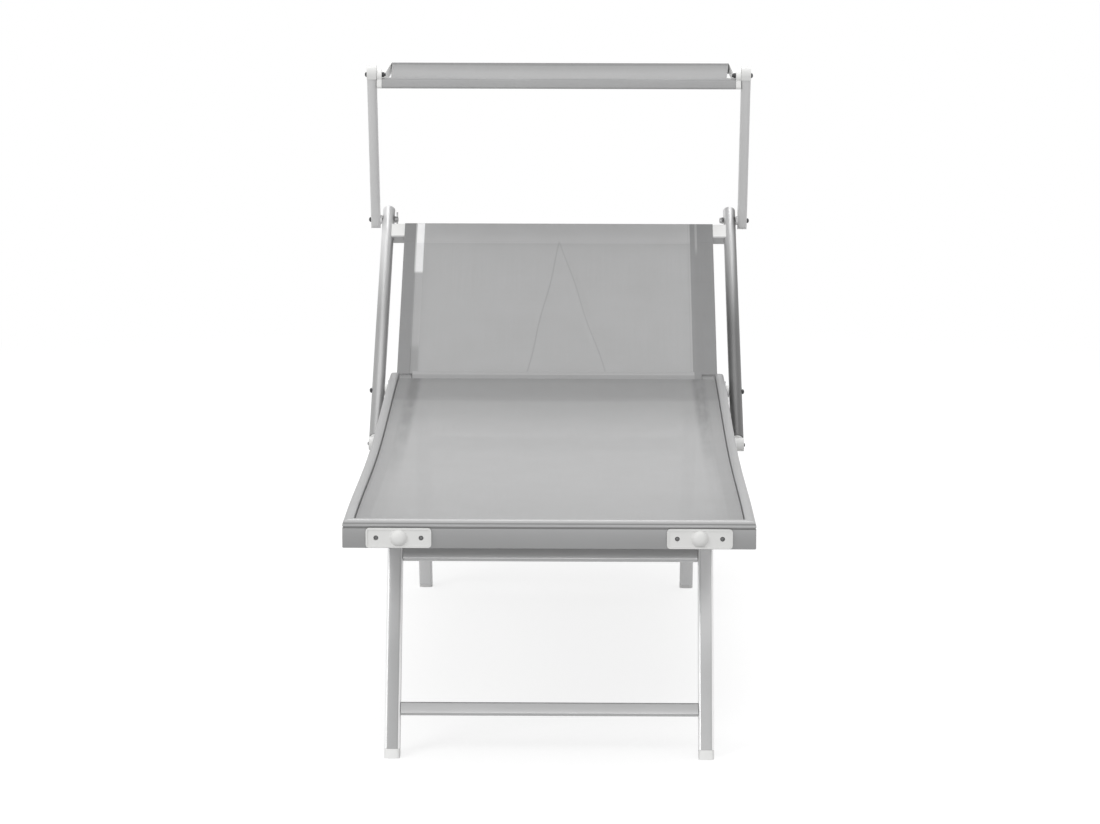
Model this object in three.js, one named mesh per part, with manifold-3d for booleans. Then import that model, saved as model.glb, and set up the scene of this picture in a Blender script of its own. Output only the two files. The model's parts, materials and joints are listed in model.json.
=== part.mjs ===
// A folding sun lounger with a reclining backrest and a tilting canopy over the head end.
// Millimetres, +Z up, head end towards +Y, origin on the floor under the middle of the lounger.
import * as THREE from "three";
import { mergeVertices } from "three/addons/utils/BufferGeometryUtils.js";
import Module from "manifold-3d";

// Clearances and cuts
const SEAT_GAP = 0.3;
const BOLT_CLEARANCE = 0.3;
const CUT_OVERRUN = 5;
const PEG_CLEARANCE = 0.5;

// Seat frame
const SEAT_WIDTH = 650;
const SEAT_LENGTH = 1427;
const SEAT_HEIGHT = 402;
const SEAT_SAG = 20;

// Extrusion of the side rails and the foot crossbar
const RAIL_WIDTH = 42;
const RAIL_HEIGHT = 45;
const RAIL_WALL = 2;
const RAIL_CORNER_RADIUS = 2;
const RAIL_END_RADIUS = 10;
const BAND_HEIGHT = 32;
const GROOVE_HEIGHT = 3;
const GROOVE_DEPTH = 1.5;
const LIP_WIDTH = 17;
const LIP_RADIUS = 8;
const LIP_EDGE_RADIUS = 1.5;
const LEDGE_DROP = 6;
const SLOT_WIDTH = 2.6;
const KEDER_DIAMETER = 5;
const KEDER_DEPTH = 6;

// Seat fabric and the bar that its rear sleeve goes round
const FABRIC_THICKNESS = 1.4;
const FABRIC_MARGIN = 20;
const FABRIC_CROSS_SAG = 9;
const FABRIC_FOOT_MARGIN = 4;
const HEM_WAVE = 1.2;
const HEM_WAVE_COUNT = 3;
const REAR_BAR_DIAMETER = 16;
const REAR_BAR_TO_HINGE = 22;

// Bumper plates on the foot crossbar
const PLATE_WIDTH = 103;
const PLATE_HEIGHT = 31;
const PLATE_THICKNESS = 4;
const PLATE_CORNER_RADIUS = 5;
const PLATE_INSET = 88.5;
const PLATE_RAISE = 1.5;
const PLATE_RIM_WIDTH = 2.5;
const PLATE_RIM_HEIGHT = 1.2;
const DOME_DIAMETER = 28;
const DOME_HEIGHT = 8;
const SCREW_SPACING = 71;
const SCREW_RECESS_DIAMETER = 8;
const SCREW_RECESS_DEPTH = 2.5;
const SCREW_HEAD_DIAMETER = 7;
const SCREW_HEAD_HEIGHT = 1.8;
const SCREW_CROSS_LENGTH = 4.4;
const SCREW_CROSS_WIDTH = 1.1;

// Leg frames
const LEG_TUBE = 25;
const LEG_CORNER_RADIUS = 5;
const LEG_WALL = 1.6;
const LEG_INSET = 73;
const LEG_HINGE_HEIGHT = 14;
const FRONT_HINGE_FROM_FOOT = 225;
const FRONT_LEG_LEAN_DEG = 22.93;
const REAR_HINGE_TO_END = 262;
const REAR_LEG_LEAN_DEG = 22.34;
const FOOT_CAP_HEIGHT = 11;
const CAP_STEM_LENGTH = 22;
const CROSS_TUBE = 20;
const CROSS_CORNER_RADIUS = 3;
const CROSS_WALL = 1.5;
const UPPER_CROSS_DROP = 97.5;
const LOWER_CROSS_HEIGHT = 71.5;
const HINGE_BLOCK_RADIUS = 17;
const STOP_LUG_TOP = 16;
const STOP_LUG_LENGTH = 20;
const STOP_LUG_THICKNESS = 8;
const STOP_LUG_REACH = 20;

// Bolts
const BOLT_DIAMETER = 6;
const BOLT_HEAD_DIAMETER = 10;
const BOLT_HEAD_HEIGHT = 4;
const NUT_HEIGHT = 5;

// Backrest, turned about the hinge at the rails' head ends
const HINGE_TO_END = 24;
const HINGE_DROP = 33;
const BACKREST_ANGLE_DEG = 35.5;
const BACKREST_UPRIGHT_DEG = 30;
const ARM_DIAMETER = 25;
const ARM_WALL = 1.6;
const ARM_OUTSET = 22.5;
const ARM_UPPER_LENGTH = 522;
const ARM_EYE_DISTANCE = 144;
const ARM_DOME_HEIGHT = 2.5;
const EYE_COLLAR = 3;
const EYE_STEM_LENGTH = 30;
const BAR_WIDTH = 40;
const BAR_DEPTH = 20;
const BAR_WALL = 1.6;
const BAR_CORNER_RADIUS = 3;
const TOP_BAR_DISTANCE = 450;
const BACKREST_NARROWING = 27;
const SIDE_TUBE_START = 42;
const PIVOT_TUBE_DIAMETER = 25;
const PIVOT_TUBE_WALL = 1.6;
const TONGUE_THICKNESS = 5;
const TONGUE_WIDTH = 16;
const TONGUE_LENGTH = 95;
const TONGUE_HUB_RADIUS = 13;
const BACK_HEM_WIDTH = 26;
const BACK_PANEL_SAG = 4;

// Hinge spacers, bushes and the quadrant plates with their arc slots
const BUSH_DIAMETER = 14;
const SPACER_DIAMETER = 24;
const QUADRANT_THICKNESS = 3;
const QUADRANT_HUB_RADIUS = 20;
const QUADRANT_RIM = 12;
const QUADRANT_SPOKE = 26;
const PEG_DIAMETER = 8;
const SLOT_END_MARGIN_DEG = 2;
const QUADRANT_END_MARGIN_DEG = 6;
const END_PLUG_LENGTH = 14;

// Canopy posts
const POST_WIDTH = 19;
const POST_DEPTH = 25;
const POST_CORNER_RADIUS = 7;
const POST_WALL = 1.6;
const POST_OUTSET = 26;
const POST_BOLT_DISTANCE = 491.5;
const POST_LENGTH = 324;
const POST_FOOT_LENGTH = 18;
const POST_ANGLE_DEG = 109.8;
const POST_CAP_DEPTH = 28;
const POST_CAP_RISE = 19;
const POST_CAP_DROP = 5;
const POST_SPACER_DIAMETER = 18;
const WING_HUB_DIAMETER = 14;
const WING_HUB_LENGTH = 7;
const WING_SPAN = 30;
const WING_REST_ANGLE_DEG = 45;
const WING_HEIGHT = 10;
const WING_THICKNESS = 3;

// Canopy
const CANOPY_DEPTH = 386;
const CANOPY_DROP = 17;
const CANOPY_SIDE_CLEARANCE = 0.5;
const CANOPY_FABRIC_DIP = 4;
const CANOPY_FABRIC_TAPER = 18;
const CANOPY_BAR_WIDTH = 12;
const CANOPY_BAR_HEIGHT = 19;
const CANOPY_BAR_RADIUS = 4;
const CANOPY_BAR_WALL = 1.4;
const SIDE_BAR_THICKNESS = 10;
const SIDE_BAR_HEIGHT = 21;
const SIDE_BAR_NOSE_RADIUS = 12;

// Facets
const ROUND_SEGMENTS = 20;
const SMALL_SEGMENTS = 12;
const CORNER_STEPS = 3;
const RAIL_STATIONS = 14;
const FABRIC_STATIONS = 16;
const FABRIC_COLUMNS = 10;

// Worked out from the sizes above
const deg = THREE.MathUtils.degToRad;
const HALF_SEAT = SEAT_WIDTH / 2;
const REAR_HINGE_FROM_FOOT = SEAT_LENGTH - REAR_HINGE_TO_END;
const HINGE_FROM_FOOT = SEAT_LENGTH - HINGE_TO_END;
const PLATE_CENTRE = HALF_SEAT - PLATE_INSET;
const LEG_CENTRE = HALF_SEAT - LEG_INSET;
const UPPER_CROSS_HEIGHT = SEAT_HEIGHT - UPPER_CROSS_DROP;
const HINGE_HEIGHT = SEAT_HEIGHT - HINGE_DROP;
const ARM_CENTRE = HALF_SEAT + ARM_OUTSET;
const BACKREST_WIDTH = SEAT_WIDTH - BACKREST_NARROWING;
const POST_CENTRE = ARM_CENTRE + POST_OUTSET;
const RAIL_BOTTOM = SEAT_HEIGHT - RAIL_HEIGHT;
const LEDGE_HEIGHT = RAIL_HEIGHT - LEDGE_DROP;
const CHANNEL_RADIUS = KEDER_DIAMETER / 2 + SEAT_GAP;
const CHANNEL_ACROSS = LIP_WIDTH + SLOT_WIDTH / 2;
const CHANNEL_UP = LEDGE_HEIGHT - KEDER_DEPTH;
const CAVITY_TOP = CHANNEL_UP - CHANNEL_RADIUS - RAIL_WALL;
const RAIL_INNER = HALF_SEAT - RAIL_WIDTH;
const HOLE_RADIUS = BOLT_DIAMETER / 2 + BOLT_CLEARANCE;
const REAR_BAR_FROM_FOOT = HINGE_FROM_FOOT - REAR_BAR_TO_HINGE;
const CANOPY_ROOT_Y =
  HINGE_FROM_FOOT +
  POST_BOLT_DISTANCE * Math.cos(deg(BACKREST_ANGLE_DEG)) +
  POST_LENGTH * Math.cos(deg(POST_ANGLE_DEG));
const DOME_REACH = PLATE_THICKNESS + SEAT_GAP + DOME_HEIGHT;
const HEAD_REACH = CANOPY_ROOT_Y + CANOPY_DEPTH;
const ORIGIN_FROM_FOOT = (HEAD_REACH - DOME_REACH) / 2;

// The rails' dip between their level ends
function sagAt(y) {
  return (SEAT_SAG * (1 - Math.cos((2 * Math.PI * y) / SEAT_LENGTH))) / 2;
}

// Solids and booleans
const wasm = await Module();
wasm.setup();

function facingOut(geometry) {
  const bare = geometry.index ? geometry.toNonIndexed() : geometry.clone();
  for (const name of Object.keys(bare.attributes)) {
    if (name !== "position") bare.deleteAttribute(name);
  }
  const merged = mergeVertices(bare);
  const p = merged.attributes.position;
  const index = merged.index.array;
  const a = new THREE.Vector3();
  const b = new THREE.Vector3();
  const c = new THREE.Vector3();
  let volume = 0;
  for (let i = 0; i < index.length; i += 3) {
    a.fromBufferAttribute(p, index[i]);
    b.fromBufferAttribute(p, index[i + 1]);
    c.fromBufferAttribute(p, index[i + 2]);
    volume += a.dot(b.cross(c));
  }
  if (volume < 0) {
    for (let i = 0; i < index.length; i += 3) {
      [index[i + 1], index[i + 2]] = [index[i + 2], index[i + 1]];
    }
  }
  return merged;
}

function solidOf(geometry) {
  const merged = facingOut(geometry);
  return new wasm.Manifold(
    new wasm.Mesh({
      numProp: 3,
      vertProperties: merged.attributes.position.array,
      triVerts: new Uint32Array(merged.index.array),
    }),
  );
}

function geometryOf(solid) {
  const mesh = solid.getMesh();
  const geometry = new THREE.BufferGeometry();
  geometry.setAttribute(
    "position",
    new THREE.BufferAttribute(mesh.vertProperties, mesh.numProp),
  );
  geometry.setIndex(new THREE.BufferAttribute(mesh.triVerts, 1));
  geometry.computeVertexNormals();
  return geometry;
}

function join(first, ...others) {
  const joined = others.reduce((sum, g) => sum.add(solidOf(g)), solidOf(first));
  return geometryOf(joined);
}

function cut(body, ...tools) {
  const left = tools.reduce((rest, g) => rest.subtract(solidOf(g)), solidOf(body));
  return geometryOf(left);
}

function common(first, second) {
  return geometryOf(solidOf(first).intersect(solidOf(second)));
}

// Outlines
function arcPoints(x, y, radius, fromAngle, toAngle, steps) {
  return Array.from({ length: steps + 1 }, (_, i) => {
    const angle = fromAngle + ((toAngle - fromAngle) * i) / steps;
    return new THREE.Vector2(x + radius * Math.cos(angle), y + radius * Math.sin(angle));
  });
}

function circlePoints(radius, steps, x = 0, y = 0) {
  return arcPoints(x, y, radius, 0, 2 * Math.PI, steps).slice(0, steps);
}

function roundedRectangle(width, height, radius, steps = CORNER_STEPS) {
  const x = width / 2 - radius;
  const y = height / 2 - radius;
  const quarter = Math.PI / 2;
  return [
    [x, y],
    [-x, y],
    [-x, -y],
    [x, -y],
  ].flatMap(([cx, cy], i) => arcPoints(cx, cy, radius, i * quarter, (i + 1) * quarter, steps));
}

// A slot outline: two round ends of one radius, their centres on the x axis
function stadium(fromX, toX, radius, steps = SMALL_SEGMENTS / 2) {
  return [
    ...arcPoints(toX, 0, radius, -Math.PI / 2, Math.PI / 2, steps),
    ...arcPoints(fromX, 0, radius, Math.PI / 2, (3 * Math.PI) / 2, steps),
  ];
}

function prism(outline, depth, holes = []) {
  const shape = new THREE.Shape(outline);
  shape.holes = holes.map((hole) => new THREE.Path(hole));
  const geometry = new THREE.ExtrudeGeometry(shape, { depth, bevelEnabled: false });
  return geometry.translate(0, 0, -depth / 2);
}

// Turns an extrusion so that its outline lies in the Y-Z plane and its length along X
function alongX(geometry) {
  const turn = new THREE.Matrix4().makeBasis(
    new THREE.Vector3(0, 1, 0),
    new THREE.Vector3(0, 0, 1),
    new THREE.Vector3(1, 0, 0),
  );
  return geometry.applyMatrix4(turn);
}

// Turns an extrusion so that its outline's x stays X, its y becomes Z and its length lies along Y
function alongY(geometry) {
  return geometry.rotateX(Math.PI / 2);
}

function rodAlongX(radius, length, steps = ROUND_SEGMENTS) {
  return alongX(prism(circlePoints(radius, steps), length));
}

// A pipe of round section along X, open at both ends
function pipeAlongX(radius, wall, length, steps = ROUND_SEGMENTS) {
  return alongX(
    prism(circlePoints(radius, steps), length, [circlePoints(radius - wall, steps)]),
  );
}

// A revolved solid whose axis is X; the profile lists [along, radius] and starts and ends on the axis
function turned(profile, steps = SMALL_SEGMENTS) {
  const points = profile.map(([along, radius]) => new THREE.Vector2(radius, along));
  return new THREE.LatheGeometry(points, steps).rotateZ(-Math.PI / 2);
}

// Carries an outline with its holes through a row of stations; place(u, v, station) gives each point
function sweep(outline, holes, stations, place) {
  const rings = [outline, ...holes];
  const flat = rings.flat();
  const positions = [];
  for (const station of stations) {
    for (const point of flat) positions.push(...place(point.x, point.y, station));
  }
  const index = [];
  const count = flat.length;
  let start = 0;
  for (const ring of rings) {
    for (let s = 0; s + 1 < stations.length; s += 1) {
      for (let i = 0; i < ring.length; i += 1) {
        const a = s * count + start + i;
        const b = s * count + start + ((i + 1) % ring.length);
        index.push(a, b, b + count, a, b + count, a + count);
      }
    }
    start += ring.length;
  }
  const last = (stations.length - 1) * count;
  for (const [a, b, c] of THREE.ShapeUtils.triangulateShape(outline, holes)) {
    index.push(c, b, a, last + a, last + b, last + c);
  }
  const geometry = new THREE.BufferGeometry();
  geometry.setAttribute("position", new THREE.Float32BufferAttribute(positions, 3));
  geometry.setIndex(index);
  return geometry;
}

// Materials
function material(color, roughness, metalness) {
  return new THREE.MeshStandardMaterial({ color, roughness, metalness });
}

const ANODISED = { color: 0xc9cacb, roughness: 0.42, metalness: 0.9 };
const POLISHED = { color: 0xd9dadb, roughness: 0.22, metalness: 1 };
const NYLON = { color: 0xf2f2f0, roughness: 0.45, metalness: 0 };
const MESH_FABRIC = { color: 0xb0b1b3, roughness: 0.85, metalness: 0 };
const STEEL = { color: 0x9a9c9e, roughness: 0.35, metalness: 1 };
const PAINTED = { color: 0xf0f0ef, roughness: 0.5, metalness: 0 };

function piece(name, geometry, finish) {
  const mesh = new THREE.Mesh(
    geometry,
    material(finish.color, finish.roughness, finish.metalness),
  );
  mesh.name = name;
  return mesh;
}

const SIDES = [
  { side: "left", sign: -1 },
  { side: "right", sign: 1 },
];

// The extrusion's section: u runs inboard from the outer face, v up from the underside
const RAIL_SECTION = [
  ...arcPoints(
    RAIL_CORNER_RADIUS, RAIL_CORNER_RADIUS, RAIL_CORNER_RADIUS,
    Math.PI, 1.5 * Math.PI, CORNER_STEPS - 1,
  ),
  ...arcPoints(
    RAIL_WIDTH - RAIL_CORNER_RADIUS, RAIL_CORNER_RADIUS, RAIL_CORNER_RADIUS,
    1.5 * Math.PI, 2 * Math.PI, CORNER_STEPS - 1,
  ),
  ...arcPoints(
    RAIL_WIDTH - RAIL_CORNER_RADIUS, LEDGE_HEIGHT - RAIL_CORNER_RADIUS, RAIL_CORNER_RADIUS,
    0, Math.PI / 2, CORNER_STEPS - 1,
  ),
  new THREE.Vector2(LIP_WIDTH + SLOT_WIDTH, LEDGE_HEIGHT),
  ...arcPoints(
    CHANNEL_ACROSS, CHANNEL_UP, CHANNEL_RADIUS,
    Math.acos(SLOT_WIDTH / 2 / CHANNEL_RADIUS),
    -Math.PI - Math.acos(SLOT_WIDTH / 2 / CHANNEL_RADIUS), 2 * CORNER_STEPS + 2,
  ),
  ...arcPoints(
    LIP_WIDTH - LIP_EDGE_RADIUS, RAIL_HEIGHT - LIP_EDGE_RADIUS, LIP_EDGE_RADIUS,
    0, Math.PI / 2, CORNER_STEPS - 1,
  ),
  ...arcPoints(
    LIP_RADIUS, RAIL_HEIGHT - LIP_RADIUS, LIP_RADIUS,
    Math.PI / 2, Math.PI, CORNER_STEPS + 1,
  ),
  new THREE.Vector2(0, BAND_HEIGHT + GROOVE_HEIGHT),
  new THREE.Vector2(GROOVE_DEPTH, BAND_HEIGHT + GROOVE_HEIGHT),
  new THREE.Vector2(GROOVE_DEPTH, BAND_HEIGHT),
  new THREE.Vector2(0, BAND_HEIGHT),
];
const RAIL_CAVITY = [
  new THREE.Vector2(RAIL_WALL, RAIL_WALL),
  new THREE.Vector2(RAIL_WALL, CAVITY_TOP),
  new THREE.Vector2(RAIL_WIDTH - RAIL_WALL, CAVITY_TOP),
  new THREE.Vector2(RAIL_WIDTH - RAIL_WALL, RAIL_WALL),
];

// Where the legs hinge: from the foot face, and how far up with the rail's dip
const LEG_FRAMES = [
  {
    end: "front",
    hingeY: FRONT_HINGE_FROM_FOOT,
    lean: deg(FRONT_LEG_LEAN_DEG),
    outward: -1,
  },
  {
    end: "rear",
    hingeY: REAR_HINGE_FROM_FOOT,
    lean: deg(REAR_LEG_LEAN_DEG),
    outward: 1,
  },
].map((frame) => {
  const hingeZ = RAIL_BOTTOM - sagAt(frame.hingeY) + LEG_HINGE_HEIGHT;
  const footY = frame.hingeY + frame.outward * hingeZ * Math.tan(frame.lean);
  return { ...frame, hingeZ, footY };
});

// A tool that takes off everything past a rail's rounded head end
function railEndTool() {
  const r = RAIL_END_RADIUS;
  const top = SEAT_HEIGHT;
  const bottom = RAIL_BOTTOM;
  const end = SEAT_LENGTH;
  const over = CUT_OVERRUN;
  const outline = [
    new THREE.Vector2(end + over, bottom - over),
    new THREE.Vector2(end + over, top + over),
    new THREE.Vector2(end - r, top + over),
    ...arcPoints(end - r, top - r, r, Math.PI / 2, 0, CORNER_STEPS),
    ...arcPoints(end - r, bottom + r, r, 0, -Math.PI / 2, CORNER_STEPS),
    new THREE.Vector2(end - r, bottom - over),
  ];
  return alongX(prism(outline, SEAT_WIDTH + 2 * over));
}

function sideRail(sign) {
  const stations = [0];
  for (let i = 1; i <= RAIL_STATIONS; i += 1) {
    stations.push(RAIL_WIDTH + ((SEAT_LENGTH - RAIL_WIDTH) * i) / RAIL_STATIONS);
  }
  const raw = sweep(RAIL_SECTION, [RAIL_CAVITY], stations, (u, v, station) => {
    const y = station === 0 ? u + SEAT_GAP * Math.SQRT2 : station;
    return [sign * (HALF_SEAT - u), y, RAIL_BOTTOM - sagAt(y) + v];
  });
  const boreLength = RAIL_WIDTH + 2 * CUT_OVERRUN;
  const boreX = sign * (HALF_SEAT - RAIL_WIDTH / 2);
  const bushBore = rodAlongX(BUSH_DIAMETER / 2 + SEAT_GAP, boreLength, SMALL_SEGMENTS);
  bushBore.translate(boreX, HINGE_FROM_FOOT, HINGE_HEIGHT);
  const legBores = LEG_FRAMES.map(({ hingeY, hingeZ }) =>
    rodAlongX(HOLE_RADIUS, boreLength, SMALL_SEGMENTS).translate(boreX, hingeY, hingeZ),
  );
  return cut(raw, railEndTool(), bushBore, ...legBores);
}

function footCrossbar() {
  return sweep(RAIL_SECTION, [RAIL_CAVITY], [-1, 1], (u, v, sign) => [
    sign * (HALF_SEAT - u),
    u,
    RAIL_BOTTOM + v,
  ]);
}

// A plug that closes the cavity at a rail's head end, rounded with the rail
function railEndPlug(sign) {
  const width = RAIL_WIDTH - 2 * RAIL_WALL - 2 * SEAT_GAP;
  const height = CAVITY_TOP - RAIL_WALL - 2 * SEAT_GAP;
  const block = new THREE.BoxGeometry(width, END_PLUG_LENGTH, height);
  const drop = sagAt(SEAT_LENGTH - END_PLUG_LENGTH);
  block.translate(
    sign * (HALF_SEAT - RAIL_WIDTH / 2),
    SEAT_LENGTH - END_PLUG_LENGTH / 2,
    RAIL_BOTTOM - drop + (CAVITY_TOP + RAIL_WALL) / 2,
  );
  return cut(block, railEndTool());
}

// The fabric: rods in the slots, a sheet between them and a sleeve round the rear bar
const SHEET_LEVEL = RAIL_BOTTOM + LEDGE_HEIGHT + SEAT_GAP;
const REAR_BAR_Z = SHEET_LEVEL - SEAT_GAP - REAR_BAR_DIAMETER / 2 - sagAt(REAR_BAR_FROM_FOOT);

// Places across a fabric: its two edges and an even row between the frame's inner faces
function columns(edge, inner) {
  const row = Array.from(
    { length: FABRIC_COLUMNS + 1 },
    (_, i) => -inner + (2 * inner * i) / FABRIC_COLUMNS,
  );
  return [-edge, ...row, edge];
}

function sheetSection(edge, inner) {
  const places = columns(edge, inner);
  return [
    ...places.map((x) => new THREE.Vector2(x, 0)),
    ...places.map((x) => new THREE.Vector2(-x, FABRIC_THICKNESS)),
  ];
}

function seatFabricSection() {
  const reach = HALF_SEAT - CHANNEL_ACROSS;
  const rod = KEDER_DIAMETER / 2;
  const rodUp = CHANNEL_UP - LEDGE_HEIGHT - SEAT_GAP;
  const half = FABRIC_THICKNESS / 2;
  const stem = Math.acos(half / rod);
  const rodSteps = 2 * CORNER_STEPS + 2;
  return [
    ...columns(reach - half, RAIL_INNER).map((x) => new THREE.Vector2(x, 0)),
    ...arcPoints(reach, rodUp, rod, Math.PI - stem, 2 * Math.PI + stem, rodSteps),
    ...columns(reach + half, RAIL_INNER).map((x) => new THREE.Vector2(-x, FABRIC_THICKNESS)),
    ...arcPoints(-reach, rodUp, rod, Math.PI - stem, 2 * Math.PI + stem, rodSteps),
  ];
}

function seatFabric() {
  const from = LIP_WIDTH + FABRIC_FOOT_MARGIN;
  const length = REAR_BAR_FROM_FOOT - RAIL_WIDTH;
  const stations = [from];
  for (let i = 0; i <= FABRIC_STATIONS; i += 1) {
    stations.push(RAIL_WIDTH + (length * i) / FABRIC_STATIONS);
  }
  const sheet = sweep(seatFabricSection(), [], stations, (x, z, y) => {
    const along = Math.max(0, y - RAIL_WIDTH) / length;
    const across = Math.min(Math.abs(x) / RAIL_INNER, 1);
    const free = 1 - across * across;
    const hollow = free * Math.sin(Math.PI * Math.sqrt(along));
    const wave = free * (1 - Math.cos((2 * Math.PI * HEM_WAVE_COUNT * x) / SEAT_WIDTH));
    const lift = y === from ? HEM_WAVE * wave : 0;
    return [x, y, SHEET_LEVEL - sagAt(y) + z - FABRIC_CROSS_SAG * hollow + lift];
  });
  const inner = REAR_BAR_DIAMETER / 2 + SEAT_GAP;
  const sleeve = pipeAlongX(
    inner + FABRIC_THICKNESS,
    FABRIC_THICKNESS,
    2 * (RAIL_INNER - SEAT_GAP),
  );
  sleeve.translate(0, REAR_BAR_FROM_FOOT, REAR_BAR_Z);
  return join(sheet, sleeve);
}

function seatRearBar() {
  const radius = REAR_BAR_DIAMETER / 2;
  const bar = pipeAlongX(radius, CROSS_WALL, 2 * (RAIL_INNER - SEAT_GAP));
  return bar.translate(0, REAR_BAR_FROM_FOOT, REAR_BAR_Z);
}

// A domed screw head with a cross recess, standing on the floor of the bumper's screw recess
function screwHead() {
  const radius = SCREW_HEAD_DIAMETER / 2;
  const seat = PLATE_THICKNESS / 2 - SCREW_RECESS_DEPTH;
  const root = seat - SCREW_HEAD_HEIGHT / 2;
  const profile = [[root, 0], [root, radius], [seat + SCREW_HEAD_HEIGHT / 2, radius]];
  profile.push([seat + SCREW_HEAD_HEIGHT, radius / 2], [seat + SCREW_HEAD_HEIGHT, 0]);
  const head = turned(profile).rotateZ(-Math.PI / 2);
  const long = SCREW_CROSS_LENGTH;
  const wide = SCREW_CROSS_WIDTH;
  const cross = [[long, wide], [wide, long]].map(([across, up]) =>
    new THREE.BoxGeometry(across, SCREW_HEAD_HEIGHT, up).translate(0, -seat - SCREW_HEAD_HEIGHT, 0),
  );
  return cut(head, ...cross);
}

// A moulded bumper: a plate with a raised rim, a domed stud and two screw recesses
function bumperPlate(sign) {
  const outer = roundedRectangle(PLATE_WIDTH, PLATE_HEIGHT, PLATE_CORNER_RADIUS);
  const inner = roundedRectangle(
    PLATE_WIDTH - 2 * PLATE_RIM_WIDTH,
    PLATE_HEIGHT - 2 * PLATE_RIM_WIDTH,
    PLATE_CORNER_RADIUS - PLATE_RIM_WIDTH,
  );
  const body = alongY(prism(outer, PLATE_THICKNESS));
  const rimDepth = PLATE_THICKNESS + PLATE_RIM_HEIGHT;
  const rim = alongY(prism(outer, rimDepth, [inner])).translate(0, -PLATE_RIM_HEIGHT / 2, 0);
  const r = DOME_DIAMETER / 2;
  const domeShares = [
    [0, 1],
    [0.25, 0.98],
    [0.5, 0.88],
    [0.7, 0.68],
    [0.85, 0.38],
    [1, 0],
  ];
  const profile = domeShares.map(([out, up]) => [up * DOME_HEIGHT, out * r]);
  profile.push([-PLATE_THICKNESS / 2, r], [-PLATE_THICKNESS / 2, 0]);
  const dome = turned(profile, ROUND_SEGMENTS).rotateZ(-Math.PI / 2);
  dome.translate(0, -PLATE_THICKNESS / 2, 0);
  const recesses = [-1, 1].map((end) => {
    const depth = SCREW_RECESS_DEPTH + CUT_OVERRUN;
    const tool = alongY(prism(circlePoints(SCREW_RECESS_DIAMETER / 2, SMALL_SEGMENTS), depth));
    const y = -PLATE_THICKNESS / 2 + SCREW_RECESS_DEPTH - depth / 2;
    return tool.translate((end * SCREW_SPACING) / 2, y, 0);
  });
  const screws = [-1, 1].map((end) => screwHead().translate((end * SCREW_SPACING) / 2, 0, 0));
  const plate = join(cut(join(body, rim, dome), ...recesses), ...screws);
  return plate.translate(
    sign * PLATE_CENTRE,
    -SEAT_GAP - PLATE_THICKNESS / 2,
    RAIL_BOTTOM + BAND_HEIGHT / 2 + PLATE_RAISE,
  );
}

// The quadrant plate: a hub on the hinge, a spoke along the rail and an arc with the peg's slot
const QUADRANT_FROM = Math.PI;
const QUADRANT_SWEEP = deg(BACKREST_ANGLE_DEG + BACKREST_UPRIGHT_DEG);

function arcSlot(radius, halfWidth, fromAngle, toAngle) {
  const ends = [fromAngle, toAngle].map((angle) => ({
    angle,
    x: radius * Math.cos(angle),
    y: radius * Math.sin(angle),
  }));
  const steps = SMALL_SEGMENTS / 2;
  return [
    ...arcPoints(0, 0, radius + halfWidth, fromAngle, toAngle, ROUND_SEGMENTS),
    ...arcPoints(
      ends[1].x, ends[1].y, halfWidth, ends[1].angle, ends[1].angle + Math.PI, steps,
    ).slice(1, -1),
    ...arcPoints(0, 0, radius - halfWidth, toAngle, fromAngle, ROUND_SEGMENTS),
    ...arcPoints(
      ends[0].x, ends[0].y, halfWidth, ends[0].angle + Math.PI, ends[0].angle + 2 * Math.PI, steps,
    ).slice(1, -1),
  ];
}

function quadrantPlate(sign) {
  const slotHalf = PEG_DIAMETER / 2 + PEG_CLEARANCE;
  const slotMargin = deg(SLOT_END_MARGIN_DEG);
  const endMargin = deg(QUADRANT_END_MARGIN_DEG);
  const to = QUADRANT_FROM + QUADRANT_SWEEP;
  const depth = QUADRANT_THICKNESS;
  const slot = arcSlot(ARM_EYE_DISTANCE, slotHalf, QUADRANT_FROM - slotMargin, to + slotMargin);
  const arc = arcSlot(
    ARM_EYE_DISTANCE, slotHalf + QUADRANT_RIM, QUADRANT_FROM, to + endMargin,
  );
  const hub = circlePoints(QUADRANT_HUB_RADIUS, ROUND_SEGMENTS);
  const reach = ARM_EYE_DISTANCE - slotHalf;
  const spokes = [QUADRANT_FROM, to].map((angle) => {
    const bar = prism(roundedRectangle(reach, QUADRANT_SPOKE, CORNER_STEPS), depth);
    return bar.translate(reach / 2, 0, 0).rotateZ(angle);
  });
  const boreRadius = BUSH_DIAMETER / 2 + SEAT_GAP;
  const bore = prism(circlePoints(boreRadius, ROUND_SEGMENTS), depth + CUT_OVERRUN);
  const slotTool = prism(slot, depth + CUT_OVERRUN);
  const plate = cut(join(prism(arc, depth), prism(hub, depth), ...spokes), slotTool, bore);
  return alongX(plate).translate(
    sign * (HALF_SEAT + SEAT_GAP + depth / 2),
    HINGE_FROM_FOOT,
    HINGE_HEIGHT,
  );
}

// The flanged nylon bush: its sleeve runs through rail and plate, its flange spaces the arm off
const TONGUE_OUTER = BACKREST_WIDTH / 2 - BAR_WIDTH + BAR_WALL / 2 + TONGUE_THICKNESS;

function hingeBush(sign) {
  const inner = TONGUE_OUTER + SEAT_GAP;
  const flange = HALF_SEAT + QUADRANT_THICKNESS + 2 * SEAT_GAP;
  const outer = ARM_CENTRE - ARM_DIAMETER / 2 - SEAT_GAP;
  const profile = [
    [inner, HOLE_RADIUS],
    [inner, BUSH_DIAMETER / 2],
    [flange, BUSH_DIAMETER / 2],
    [flange, SPACER_DIAMETER / 2],
    [outer, SPACER_DIAMETER / 2],
    [outer, HOLE_RADIUS],
    [inner, HOLE_RADIUS],
  ];
  const bush = onSide(turned(profile, ROUND_SEGMENTS), sign);
  return bush.translate(0, HINGE_FROM_FOOT, HINGE_HEIGHT);
}

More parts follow.
